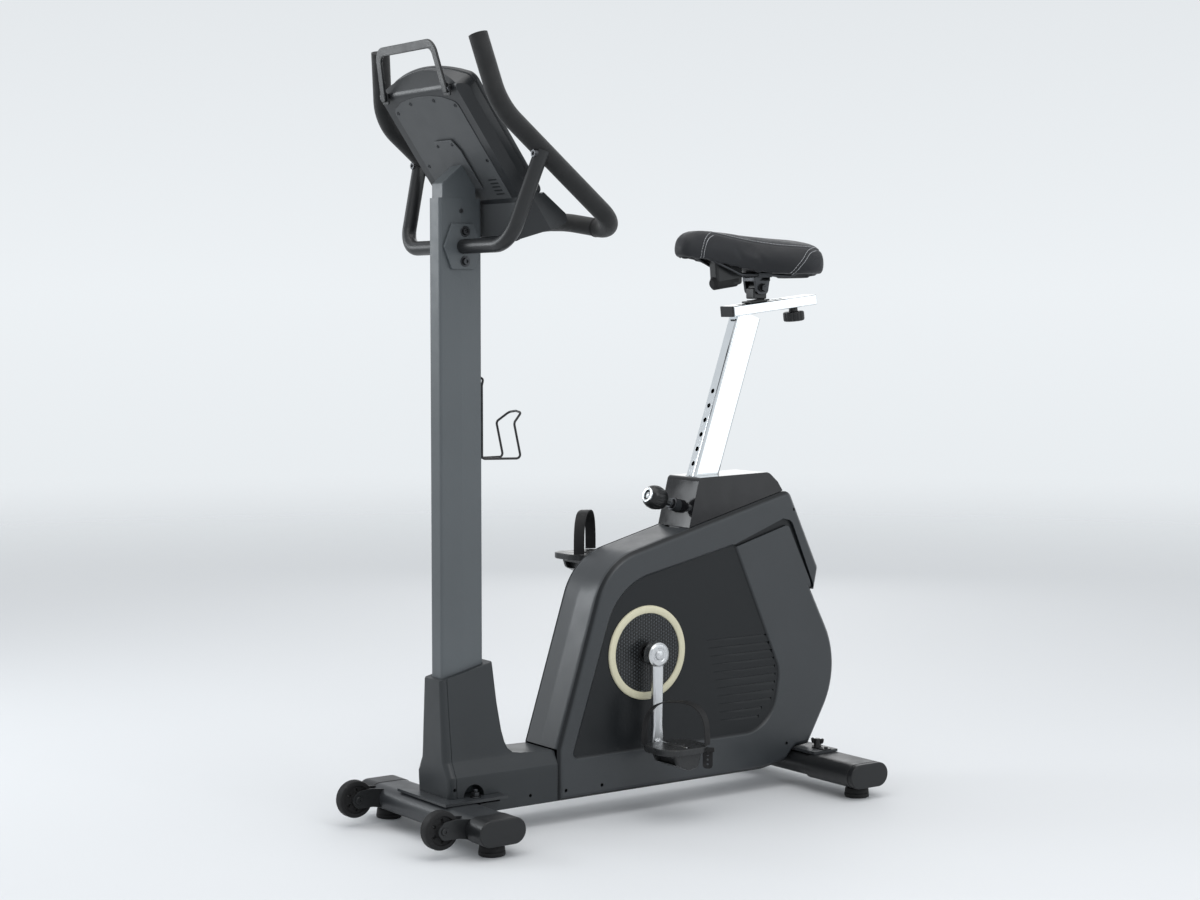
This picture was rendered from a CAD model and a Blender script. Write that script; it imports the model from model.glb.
"""Looks of the upright exercise bike: detailed pieces, finishes, a studio and the camera.

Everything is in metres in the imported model's own frame: +Z up, the rider faces -Y and the
rider's left is +X. Pieces that stand for a CAD solid keep to the place that solid holds.
"""

from math import atan2, ceil, cos, hypot, pi, radians, sin, sqrt, tan

import bmesh
import bpy
from mathutils import Euler, Matrix, Vector
from mathutils.bvhtree import BVHTree
from mathutils.kdtree import KDTree


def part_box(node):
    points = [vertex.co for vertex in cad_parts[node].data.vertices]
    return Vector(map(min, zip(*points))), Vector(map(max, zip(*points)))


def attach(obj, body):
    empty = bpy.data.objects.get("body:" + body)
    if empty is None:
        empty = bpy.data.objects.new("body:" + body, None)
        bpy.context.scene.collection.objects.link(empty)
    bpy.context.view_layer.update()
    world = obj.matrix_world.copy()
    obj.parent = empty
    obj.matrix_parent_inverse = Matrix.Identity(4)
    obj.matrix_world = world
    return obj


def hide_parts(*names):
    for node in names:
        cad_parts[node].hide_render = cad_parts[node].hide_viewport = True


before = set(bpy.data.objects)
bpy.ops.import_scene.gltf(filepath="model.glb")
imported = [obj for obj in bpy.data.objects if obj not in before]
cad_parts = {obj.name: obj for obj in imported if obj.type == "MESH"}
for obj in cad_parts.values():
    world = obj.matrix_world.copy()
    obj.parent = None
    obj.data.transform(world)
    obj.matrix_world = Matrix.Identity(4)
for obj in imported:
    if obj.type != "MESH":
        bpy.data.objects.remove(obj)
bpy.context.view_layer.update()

COVER_X = 0.060                           # outer face of the side covers
RECESS_X = 0.0555                         # floor of their sunken panels

# ---------------------------------------------------------------- finishes

COLOUR_A, COLOUR_B = 6, 7                 # colour sockets of a mix node, whose names repeat
COLOUR_RESULT = 2


class Finish:
    """A material under construction: a Principled shader and the nodes that feed it."""

    def __init__(self, name, colour, roughness, metallic=0.0, **sockets):
        self.material = bpy.data.materials.new(name)
        self.material.use_nodes = True
        self.tree = self.material.node_tree
        self.shader = self.tree.nodes["Principled BSDF"]
        self.colour = colour
        self.roughness = roughness
        self.shader.inputs["Base Color"].default_value = (*colour, 1)
        self.shader.inputs["Roughness"].default_value = roughness
        self.shader.inputs["Metallic"].default_value = metallic
        for socket, value in sockets.items():
            self.shader.inputs[socket.replace("_", " ")].default_value = value
        self.place = self.tree.nodes.new("ShaderNodeTexCoord").outputs["Object"]
        self.normal = None

    def node(self, kind, **inputs):
        made = self.tree.nodes.new(kind)
        for socket, value in inputs.items():
            made.inputs[socket.replace("_", " ")].default_value = value
        return made

    def link(self, output, socket):
        self.tree.links.new(output, socket)

    def noise(self, scale, detail=3.0, stretch=None):
        source = self.place
        if stretch:
            mapping = self.node("ShaderNodeMapping")
            mapping.inputs["Scale"].default_value = stretch
            self.link(source, mapping.inputs["Vector"])
            source = mapping.outputs["Vector"]
        made = self.node("ShaderNodeTexNoise", Scale=scale, Detail=detail, Roughness=0.5)
        self.link(source, made.inputs["Vector"])
        return made.outputs["Fac"]

    def cells(self, scale, feature="DISTANCE_TO_EDGE"):
        made = self.node("ShaderNodeTexVoronoi", Scale=scale)
        made.feature = feature
        self.link(self.place, made.inputs["Vector"])
        return made.outputs["Distance"]

    def spread(self, source, low, high, start=0.3, end=0.7):
        """Map a texture value from start..end to low..high."""
        made = self.node("ShaderNodeMapRange")
        for socket, value in (("From Min", start), ("From Max", end), ("To Min", low), ("To Max", high)):
            made.inputs[socket].default_value = value
        self.link(source, made.inputs["Value"])
        return made.outputs["Result"]

    def mixed(self, factor, first, second):
        made = self.tree.nodes.new("ShaderNodeMix")
        made.data_type = "RGBA"
        if isinstance(first, tuple):
            made.inputs[COLOUR_A].default_value = (*first, 1)
        else:
            made.inputs[COLOUR_A].default_value = (0, 0, 0, 1)
            self.link(first, made.inputs[COLOUR_A])
        made.inputs[COLOUR_B].default_value = (*second, 1)
        self.link(factor, made.inputs[0])
        return made.outputs[COLOUR_RESULT]

    def tones(self, amount, scale=9.0):
        """Slow drift of the base colour, lighter and darker by the given share."""
        dark = tuple(channel * (1 - amount) for channel in self.colour)
        light = tuple(channel * (1 + amount) for channel in self.colour)
        self.tinted = self.mixed(self.spread(self.noise(scale, 4.0), 0, 1), dark, light)
        self.link(self.tinted, self.shader.inputs["Base Color"])
        return self

    def patches(self, colour, scale, start, end, amount=1.0, stretch=None):
        """Patches of a second colour, such as dust, scuffs or flecks, over the drifting base."""
        mask = self.spread(self.noise(scale, 6.0, stretch), 0, amount, start, end)
        self.tinted = self.mixed(mask, self.tinted, colour)
        self.link(self.tinted, self.shader.inputs["Base Color"])
        return self

    def smudges(self, amount, scale=30.0, stretch=None):
        """Roughness that wanders by the given amount either way."""
        low, high = max(self.roughness - amount, 0.02), min(self.roughness + amount, 1)
        self.link(self.spread(self.noise(scale, 5.0, stretch), low, high), self.shader.inputs["Roughness"])
        return self

    def bump(self, height, depth, strength=1.0):
        made = self.node("ShaderNodeBump", Distance=depth, Strength=strength)
        self.link(height, made.inputs["Height"])
        if self.normal:
            self.link(self.normal, made.inputs["Normal"])
        self.normal = made.outputs["Normal"]
        self.link(self.normal, self.shader.inputs["Normal"])
        return self

    def grain(self, scale, depth, detail=2.0, stretch=None, strength=1.0):
        return self.bump(self.noise(scale, detail, stretch), depth, strength)


def powder_coat(name, colour, roughness):
    finish = Finish(name, colour, roughness, 0.0, Specular_IOR_Level=0.42)
    finish.tones(0.06, 5).smudges(0.05, 40)
    finish.grain(260, 0.00012).grain(1300, 0.00005)
    return finish.material


def moulded(name, colour, roughness, texture=1500, depth=0.00004):
    finish = Finish(name, colour, roughness, 0.0, Specular_IOR_Level=0.38)
    finish.tones(0.08, 6).smudges(0.05, 22)
    finish.grain(texture, depth)
    return finish.material


def shell_plastic(name, colour, roughness):
    """Moulded plastic, with a darker and duller texture in the sunken panels of the side covers."""
    finish = Finish(name, colour, roughness, 0.0)
    finish.tones(0.08, 6).smudges(0.05, 22)
    split = finish.node("ShaderNodeSeparateXYZ")
    finish.link(finish.place, split.inputs[0])
    away = finish.node("ShaderNodeMath")
    away.operation = "ABSOLUTE"
    finish.link(split.outputs["X"], away.inputs[0])
    sunk = finish.spread(away.outputs[0], 1, 0, RECESS_X + 0.0012, COVER_X - 0.0008)
    inside = finish.spread(away.outputs[0], 0, 1, 0.0525, 0.0535)
    both = finish.node("ShaderNodeMath")
    both.operation = "MULTIPLY"
    finish.link(sunk, both.inputs[0])
    finish.link(inside, both.inputs[1])
    duller = finish.spread(both.outputs[0], 0.52, 0.26, 0, 1)
    finish.link(duller, finish.shader.inputs["Specular IOR Level"])
    finish.tinted = finish.mixed(both.outputs[0], finish.tinted,
                                 tuple(channel * 0.40 for channel in colour))
    finish.link(finish.tinted, finish.shader.inputs["Base Color"])
    finish.grain(1500, 0.00004)
    return finish.material


def dimpled_plastic(name, colour, sunk_colour, roughness, level):
    """Moulded plastic that is lighter in the dimples, which lie closer to the middle of the bike."""
    finish = Finish(name, colour, roughness, 0.0)
    finish.tones(0.08, 6).smudges(0.05, 22)
    split = finish.node("ShaderNodeSeparateXYZ")
    finish.link(finish.place, split.inputs[0])
    away = finish.node("ShaderNodeMath")
    away.operation = "ABSOLUTE"
    finish.link(split.outputs["X"], away.inputs[0])
    finish.tinted = finish.mixed(finish.spread(away.outputs[0], 1, 0, level - 0.0003, level), finish.tinted,
                                 sunk_colour)
    finish.link(finish.tinted, finish.shader.inputs["Base Color"])
    finish.grain(1500, 0.00003)
    return finish.material


def metal(name, colour, roughness, stretch=(1, 1, 1), depth=0.00001):
    finish = Finish(name, colour, roughness, 1.0)
    finish.tones(0.04, 12).smudges(roughness * 0.35, 60, stretch)
    finish.grain(900, depth, 3.0, stretch, 0.3)
    return finish.material


def leather(name, colour, roughness):
    """Coated fabric with a fine pebbled grain."""
    finish = Finish(name, colour, roughness, 0.0, Sheen_Weight=0.06, Sheen_Roughness=0.5,
                    Specular_IOR_Level=0.30)
    finish.tones(0.10, 14).smudges(0.06, 60)
    pebbles = finish.spread(finish.cells(620), 0, 1, 0.0, 0.09)
    finish.bump(pebbles, 0.00016, 0.7)
    finish.grain(2400, 0.00004)
    return finish.material


def foam(name, colour):
    """Closed-cell foam: matt, with fine open pores."""
    finish = Finish(name, colour, 0.72, 0.0, Sheen_Weight=0.25, Sheen_Roughness=0.4,
                    Specular_IOR_Level=0.35)
    finish.tones(0.12, 25).smudges(0.08, 50)
    finish.bump(finish.spread(finish.cells(1300, "F1"), 0, 1, 0.05, 0.6), 0.00025, 0.8)
    finish.grain(420, 0.00018)
    return finish.material


def rubber(name, colour):
    finish = Finish(name, colour, 0.62, 0.0, Specular_IOR_Level=0.22)
    finish.tones(0.12, 30).smudges(0.08, 45)
    finish.patches((0.055, 0.054, 0.052), 70, 0.62, 0.80, 0.5)
    finish.grain(1100, 0.00006)
    return finish.material


def thread(name, colour):
    """Twisted sewing thread."""
    finish = Finish(name, colour, 0.75, 0.0, Sheen_Weight=0.3)
    finish.tones(0.10, 300)
    wave = finish.node("ShaderNodeTexWave", Scale=900.0, Distortion=1.5)
    finish.link(finish.place, wave.inputs["Vector"])
    finish.bump(wave.outputs["Fac"], 0.00015, 0.8)
    return finish.material


def scuffed_plastic(name, colour, roughness):
    """Moulded plastic that shoes have rubbed a little lighter."""
    finish = Finish(name, colour, roughness, 0.0, Specular_IOR_Level=0.30)
    finish.tones(0.10, 10).smudges(0.10, 50)
    finish.patches((0.070, 0.072, 0.074), 160, 0.66, 0.84, 0.30, (1, 6, 6))
    finish.grain(1200, 0.00006)
    return finish.material


def cast_iron(name):
    finish = Finish(name, (0.13, 0.13, 0.132), 0.55, 0.9)
    finish.tones(0.15, 20).smudges(0.10, 80)
    finish.patches((0.10, 0.055, 0.03), 35, 0.62, 0.80, 0.35)
    finish.grain(500, 0.0002)
    return finish.material


def smoked_glass(name):
    finish = Finish(name, (0.006, 0.008, 0.010), 0.06, 0.0, Coat_Weight=1.0, Coat_Roughness=0.03)
    finish.tones(0.25, 18).smudges(0.03, 25)
    return finish.material


LOOKS = {
    "coat": powder_coat("coat_charcoal", (0.083, 0.094, 0.101), 0.40),
    "coat_mid": powder_coat("coat_grey", (0.030, 0.033, 0.036), 0.38),
    "coat_dark": powder_coat("coat_black", (0.013, 0.014, 0.015), 0.36),
    "shell": shell_plastic("shell_charcoal", (0.026, 0.030, 0.0335), 0.34),
    "shell_dark": moulded("shell_black", (0.010, 0.011, 0.012), 0.40),
    "disc": dimpled_plastic("disc_black", (0.008, 0.0085, 0.009), (0.075, 0.085, 0.092), 0.32,
                            RECESS_X + 0.0008),
    "boot": moulded("boot_charcoal", (0.022, 0.0255, 0.028), 0.40),
    "case": moulded("case_charcoal", (0.020, 0.022, 0.024), 0.34),
    "case_panel": moulded("case_grey", (0.066, 0.070, 0.073), 0.50, 1100, 0.00008),
    "gloss": moulded("gloss_black", (0.006, 0.006, 0.007), 0.10, 200, 0.000004),
    "satin": moulded("satin_black", (0.010, 0.0105, 0.011), 0.30),
    "key": moulded("key_grey", (0.12, 0.125, 0.13), 0.42, 900, 0.00004),
    "ring": moulded("ring_champagne", (0.62, 0.59, 0.43), 0.28, 700, 0.00001),
    "chrome": metal("chrome_plate", (0.78, 0.81, 0.825), 0.08),
    "aluminium": metal("aluminium_polished", (0.60, 0.61, 0.62), 0.26, (1, 1, 0.2), 0.00001),
    "zinc": metal("zinc_steel", (0.50, 0.51, 0.53), 0.30),
    "black_steel": metal("blackened_steel", (0.060, 0.062, 0.066), 0.34),
    "iron": cast_iron("cast_iron_turned"),
    "rubber": rubber("rubber_black", (0.013, 0.013, 0.0135)),
    "foam": foam("foam_black", (0.012, 0.0125, 0.013)),
    "leather": leather("leather_black", (0.011, 0.012, 0.0145), 0.42),
    "thread": thread("thread_pale", (0.50, 0.51, 0.53)),
    "pedal": scuffed_plastic("pedal_black", (0.028, 0.029, 0.030), 0.30),
    "glass": smoked_glass("glass_smoked"),
    "wire": powder_coat("wire_black", (0.012, 0.012, 0.013), 0.30),
    "display": moulded("display_segments", (0.30, 0.36, 0.36), 0.35, 1500, 0.00001),
}

# ---------------------------------------------------------------- modelling helpers

ALONG_X = (0, pi / 2, 0)                  # turns local z into world X
SIDE_VIEW = (pi / 2, 0, pi / 2)           # turns local x, y, z into world Y, Z, X
_cutters = []


def put(name, data):
    obj = bpy.data.objects.new(name, data)
    bpy.context.scene.collection.objects.link(obj)
    return obj


def from_bmesh(name, bm):
    bmesh.ops.recalc_face_normals(bm, faces=bm.faces)
    data = bpy.data.meshes.new(name)
    bm.to_mesh(data)
    bm.free()
    return put(name, data)


def baked(obj, weld=0.0):
    """The object with its curves and modifiers turned into a plain mesh in world space."""
    bpy.context.view_layer.update()
    evaluated = obj.evaluated_get(bpy.context.evaluated_depsgraph_get())
    data = bpy.data.meshes.new_from_object(evaluated)
    data.transform(obj.matrix_world)
    data.materials.clear()
    if weld:
        bm = bmesh.new()
        bm.from_mesh(data)
        bmesh.ops.remove_doubles(bm, verts=bm.verts, dist=weld)
        bmesh.ops.recalc_face_normals(bm, faces=bm.faces)
        bm.to_mesh(data)
        bm.free()
    name = obj.name
    bpy.data.objects.remove(obj, do_unlink=True)
    return put(name, data)


def arc_corner(before, corner, after, radius, steps):
    """Points of the arc that rounds one corner of a path, in two or three dimensions."""
    size = len(corner)
    middle = Vector(tuple(corner) + (0,) * (3 - size))
    back = (Vector(tuple(before) + (0,) * (3 - size)) - middle).normalized()
    on = (Vector(tuple(after) + (0,) * (3 - size)) - middle).normalized()
    half = back.angle(on) / 2
    start = middle + back * (radius / tan(half))
    centre = middle + (back + on).normalized() * (radius / sin(half))
    axis = (start - centre).cross(back).normalized()
    sweep = -(pi - 2 * half)
    turned_points = []
    for step in range(steps + 1):
        spoke = Matrix.Rotation(sweep * step / steps, 3, axis) @ (start - centre)
        turned_points.append(tuple((centre + spoke)[:size]))
    return turned_points


def rounded(corners, closed=True, steps=10):
    """A path through corners given as coordinates, or as coordinates and a radius in a pair."""
    plain = [item[0] if isinstance(item[0], (tuple, Vector)) else item for item in corners]
    radii = [item[1] if isinstance(item[0], (tuple, Vector)) else 0 for item in corners]
    count = len(plain)
    path = []
    for index, (corner, radius) in enumerate(zip(plain, radii)):
        if radius == 0 or (not closed and index in (0, count - 1)):
            path.append(tuple(corner))
            continue
        path += arc_corner(plain[index - 1], corner, plain[(index + 1) % count], radius, steps)
    return path


def inset(outline, distance):
    """The outline moved inward by a distance, or outward when it is negative."""
    count = len(outline)
    area = sum(outline[i - 1][0] * outline[i][1] - outline[i][0] * outline[i - 1][1] for i in range(count))
    inward = 1 if area > 0 else -1
    moved = []
    for index, corner in enumerate(outline):
        here = Vector(corner)
        coming = (here - Vector(outline[index - 1])).normalized()
        going = (Vector(outline[(index + 1) % count]) - here).normalized()
        tangent = (coming + going).normalized()
        normal = Vector((-tangent.y, tangent.x)) * inward
        moved.append(tuple(here + normal * (distance / max(tangent.dot(going), 0.3))))
    return moved


def rectangle(width, depth, radius, steps=6):
    half_w, half_d = width / 2, depth / 2
    corners = ((half_w, -half_d), (half_w, half_d), (-half_w, half_d), (-half_w, -half_d))
    return rounded([(corner, radius) for corner in corners], steps=steps)


def shifted(outline, du, dv):
    return [(u + du, v + dv) for u, v in outline]


def circle(radius, sides, centre=(0, 0)):
    turn = 2 * pi / sides
    return [(centre[0] + radius * cos(turn * i), centre[1] + radius * sin(turn * i)) for i in range(sides)]


def plate(name, outlines, thickness, middle=(0, 0, 0), rotation=(0, 0, 0), edge=0.0):
    """A flat piece with rounded edges: the first outline is its rim, any others are holes."""
    curve = bpy.data.curves.new(name, "CURVE")
    curve.dimensions = "2D"
    curve.fill_mode = "BOTH"
    curve.extrude = thickness / 2 - edge
    curve.bevel_depth = edge
    curve.bevel_resolution = 2
    curve.offset = -edge
    for outline in outlines:
        spline = curve.splines.new("POLY")
        spline.points.add(len(outline) - 1)
        for point, (u, v) in zip(spline.points, outline):
            point.co = (u, v, 0, 1)
        spline.use_cyclic_u = True
    obj = put(name, curve)
    obj.location = middle
    obj.rotation_euler = rotation
    return baked(obj, 0.00001)


def side_plate(name, outlines, x_low, x_high, edge=0.0):
    """A piece with a side view outline in (y, z), from one X to another."""
    return plate(name, outlines, x_high - x_low, ((x_low + x_high) / 2, 0, 0), SIDE_VIEW, edge)


def tube(name, path, radius, resolution=8):
    """A bent round tube or wire with closed ends."""
    curve = bpy.data.curves.new(name, "CURVE")
    curve.dimensions = "3D"
    curve.bevel_depth = radius
    curve.bevel_resolution = resolution
    curve.use_fill_caps = True
    spline = curve.splines.new("POLY")
    spline.points.add(len(path) - 1)
    for point, spot in zip(spline.points, path):
        point.co = (*spot, 1)
    return baked(put(name, curve), 0.00001)


def box(name, low, high):
    bm = bmesh.new()
    bmesh.ops.create_cube(bm, size=1)
    middle = (Vector(high) + Vector(low)) / 2
    bmesh.ops.scale(bm, vec=Vector(high) - Vector(low), verts=bm.verts)
    obj = from_bmesh(name, bm)
    obj.location = middle
    return obj


def turned(name, profile, middle, rotation=ALONG_X, steps=64):
    """A turned piece: the profile is (radius, height) pairs down its outer side, then back up."""
    bm = bmesh.new()
    corners = [bm.verts.new((radius, 0, height)) for radius, height in profile]
    open_profile = profile[0][0] == 0
    for first, second in zip(corners, corners[1:] if open_profile else corners[1:] + corners[:1]):
        bm.edges.new((first, second))
    data = bpy.data.meshes.new(name)
    bm.to_mesh(data)
    bm.free()
    obj = put(name, data)
    screw = obj.modifiers.new("turn", "SCREW")
    screw.steps = steps
    screw.render_steps = steps
    screw.use_merge_vertices = True
    screw.merge_threshold = 0.00001
    obj.location = middle
    obj.rotation_euler = rotation
    return baked(obj, 0.000001)


def rod(name, radius, length, middle, rotation=ALONG_X, sides=48, edge=0.0):
    """A round bar, with its ends rounded off by the given edge."""
    half = length / 2
    profile = [(0, half), (radius - edge, half), (radius, half - edge), (radius, edge - half),
               (radius - edge, -half), (0, -half)]
    if not edge:
        profile = [(0, half), (radius, half), (radius, -half), (0, -half)]
    return turned(name, profile, middle, rotation, sides)


def lofted(name, rings):
    """A solid through rings of points that all have the same count."""
    bm = bmesh.new()
    loops = [[bm.verts.new(point) for point in ring] for ring in rings]
    count = len(loops[0])
    for lower, upper in zip(loops, loops[1:]):
        for index in range(count):
            after = (index + 1) % count
            bm.faces.new((lower[index], lower[after], upper[after], upper[index]))
    bm.faces.new(loops[0])
    bm.faces.new(loops[-1])
    return from_bmesh(name, bm)


def combine(target, other, operation):
    modifier = target.modifiers.new(operation.lower(), "BOOLEAN")
    modifier.operation = operation
    modifier.object = other
    modifier.solver = "EXACT"
    other.hide_render = True
    _cutters.append(other)
    return target


def cut(target, *cutters):
    for cutter in cutters:
        combine(target, cutter, "DIFFERENCE")
    return target


def join(target, *others):
    for other in others:
        combine(target, other, "UNION")
    return target


def bevelled(obj, width, segments=3, angle=35):
    modifier = obj.modifiers.new("edges", "BEVEL")
    modifier.width = width
    modifier.segments = segments
    modifier.limit_method = "ANGLE"
    modifier.angle_limit = radians(angle)
    modifier.use_clamp_overlap = True
    return obj


def solid(obj, edge=0.0, segments=2, angle=35):
    """Apply the Booleans, drop the cutters, then soften the edges."""
    made = baked(obj)
    while _cutters:
        bpy.data.objects.remove(_cutters.pop(), do_unlink=True)
    if edge:
        bevelled(made, edge, segments, angle)
        made = baked(made)
    return made


def merged(name, objects):
    """Several plain meshes as one object."""
    bm = bmesh.new()
    for obj in objects:
        bpy.context.view_layer.update()
        copy = obj.data.copy()
        copy.transform(obj.matrix_world)
        bm.from_mesh(copy)
        bpy.data.objects.remove(obj, do_unlink=True)
    data = bpy.data.meshes.new(name)
    bm.to_mesh(data)
    bm.free()
    return put(name, data)


def dress(obj, name, body, slot, look, *nodes, sharp=38, weighted=True):
    """Name a finished piece, give it its finish, and let it ride on its body for its nodes."""
    obj = baked(obj) if obj.modifiers or obj.type != "MESH" else obj
    obj.name = name
    obj.data.name = name
    obj.data.transform(obj.matrix_world)
    obj.matrix_world = Matrix.Identity(4)
    obj.data.materials.clear()
    obj.data.materials.append(LOOKS[look])
    obj.data.shade_smooth()
    obj.data.set_sharp_from_angle(angle=radians(sharp))
    if weighted:
        modifier = obj.modifiers.new("shading", "WEIGHTED_NORMAL")
        modifier.keep_sharp = True
        modifier.weight = 80
    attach(obj, body)
    if nodes:
        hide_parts(*nodes)
    return obj


def on_both_sides(make):
    """Call make(side_name, sign) for the rider's left (+X) and right (-X)."""
    for side_name, sign in (("left", 1), ("right", -1)):
        make(side_name, sign)


def ordered(first, second):
    return (first, second) if first < second else (second, first)


def repaint(look, *names):
    """Give a CAD solid that is shown as it is its finish."""
    for name in names:
        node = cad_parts[name]
        for index in range(len(node.data.materials)):
            node.data.materials[index] = LOOKS[look]


def mid(name):
    low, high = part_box(name)
    return (low + high) / 2


def screw_head(radius, height, spot, rotation):
    """A round screw head with a hexagonal socket, its top facing local +z."""
    profile = [(0, 0), (radius, 0), (radius, height * 0.55), (radius * 0.86, height), (0, height)]
    head = turned("head", profile, spot, rotation, 32)
    wrench = plate("wrench", [circle(radius * 0.5, 6)], height, (0, 0, height), (0, 0, 0))
    wrench.data.transform(Matrix.Translation(Vector(spot)) @ rotation_matrix(rotation))
    return solid(cut(head, wrench))


def rotation_matrix(rotation):
    return Euler(rotation).to_matrix().to_4x4()


# ---------------------------------------------------------------- driving dimensions

SPINE_X = 0.0520
SEAM = 0.0004
COVER_FRONT = -0.166
COVER_BOTTOM = 0.043
FRONT_LEAN_TOP = (-0.055, 0.485)
TOP_REAR = (0.398, 0.6026)
TOP_SLOPE = (TOP_REAR[1] - FRONT_LEAN_TOP[1]) / (TOP_REAR[0] - FRONT_LEAN_TOP[0])
RIDGE_END = 0.135
AXLE = Vector((0, 0.042, 0.305))          # the cranks turn about this line
CRANK_LENGTH = 0.170
CRANK_X = 0.088
DISC_OPENING = 0.0725
TRIM_RADIUS = 0.091
TRIM_RISE = 0.0050
SEAT_LEAN = radians(19.0)
POST_UP = Vector((0, sin(SEAT_LEAN), cos(SEAT_LEAN)))
POST_OUT = Vector((0, -cos(SEAT_LEAN), sin(SEAT_LEAN)))
POST_ORIGIN = Vector((0, 0.2225, 0.6405))
POST_ROTATION = (-SEAT_LEAN, 0, 0)
PIN_ROTATION = (pi / 2 - SEAT_LEAN, 0, 0)
PIN_DISTANCE = -0.080
HOLE_PITCH = 0.030


def along_post(distance, forward=0.0):
    return POST_ORIGIN + POST_UP * distance + POST_OUT * forward


# ---------------------------------------------------------------- shell

LOUVRES = 11                              # slots in each sunken panel
LOUVRE_PITCH = 0.0162
COVER_SCREWS = ((-0.100, 0.395), (0.409, 0.562), (-0.1500, 0.062), (-0.067, 0.062), (0.392, 0.089))


def top_height(y):
    return FRONT_LEAN_TOP[1] + TOP_SLOPE * (y - FRONT_LEAN_TOP[0])


def spine_corners():
    """Front, top and back of the covers, seen from the side, from the floor beam up and over."""
    return [
        (COVER_FRONT, 0.1405), (FRONT_LEAN_TOP, 0.126), (RIDGE_END, top_height(RIDGE_END)),
        (TOP_REAR, 0.020), ((0.4765, 0.440), 0.0125), (0.4670, 0.396), (0.4578, 0.397),
        ((0.5429, 0.2337), 0.171), (0.4535, 0.081),
    ]


def cover_outline():
    corners = [(COVER_FRONT, COVER_BOTTOM)] + spine_corners()
    corners += [((0.4165, 0.0785), 0.0125), ((0.392, 0.053), 0.0125), ((0.33, COVER_BOTTOM), 0.03)]
    return rounded(corners, steps=14)


def recess_outline():
    """Outline of the sunken panel in a side cover."""
    return rounded([
        ((-0.138, 0.118), 0.012), ((-0.0283, 0.4415), 0.130), ((0.258, 0.503), 0.012),
        ((0.376, 0.240), 0.070),
        ((0.356, 0.118), 0.085),
    ], steps=16)


def channel_outline():
    """Groove that parts the raised rear panel from the rim, wider down the back."""
    return rounded([
        (0.2480, 0.4980), ((0.3800, 0.5452), 0.004), ((0.4030, 0.5400), 0.018), (0.4640, 0.4010),
        (0.4560, 0.3960), (0.4516, 0.4156), ((0.3935, 0.5320), 0.010), ((0.2600, 0.4955), 0.004),
    ], steps=6)


def layered(name, outline, sign, levels):
    """A solid with the outline inset by different amounts at different distances from the middle."""
    return lofted(name, [[(sign * x, y, z) for y, z in inset(outline, amount)] for x, amount in levels])


def louvre(sign, index):
    """One slanted slot that fades out towards the front."""
    z = 0.3120 - LOUVRE_PITCH * index
    right = 0.3395 + 0.0260 * sin(pi * min(index / 10.0, 1)) - (0.0170 if index > 8 else 0)
    left = 0.172 + 0.004 * index
    height, deep = 0.0040, 0.0026
    rings = []
    for y, share in ((left, 0.0), ((left + right) / 2, 0.7), (right, 1.0)):
        floor = RECESS_X + 0.0004 - (deep + 0.0004) * share
        rings.append([
            (sign * (RECESS_X + 0.004), y, z + height),
            (sign * (RECESS_X + 0.0005), y, z + height),
            (sign * floor, y, z + height * 0.75),
            (sign * (RECESS_X + 0.0005), y, z - height),
            (sign * (RECESS_X + 0.004), y, z - height),
        ])
    return lofted("louvre", rings)


def side_cover(side, sign):
    outline = cover_outline()
    x0 = SPINE_X + SEAM
    shell = layered("shell", outline, sign, (
        (x0, 0.0007), (x0 + 0.0007, 0.0), (x0 + 0.0052, 0.0048), (x0 + 0.0066, 0.0066),
        (COVER_X - 0.0003, 0.0082),
        (COVER_X, 0.0100),
    ))
    outside = COVER_X + 0.002
    recess = layered("recess", recess_outline(), sign, (
        (outside, -0.0030), (COVER_X, -0.0012), (COVER_X - 0.0006, -0.0002), (RECESS_X + 0.0006, 0.0036),
        (RECESS_X, 0.0046),
    ))
    channel = layered("channel", channel_outline(), sign, ((outside, 0.0), (COVER_X - 0.0066, 0.0007)))
    opening = rod("opening", DISC_OPENING + SEAM, 0.04, (sign * COVER_X, AXLE.y, AXLE.z), sides=72)
    cut(shell, recess, channel, opening)
    for index in range(LOUVRES):
        cut(shell, louvre(sign, index))
    for y, z in COVER_SCREWS:
        cut(shell, rod("screw_hole", 0.0034, 0.012, (sign * COVER_X, y, z), sides=20))
    shell = solid(shell, 0.0005, 2, 40)
    dress(shell, f"shell_{side}", "frame", "matt_plastic", "shell", f"side_cover_{side}")


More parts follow.
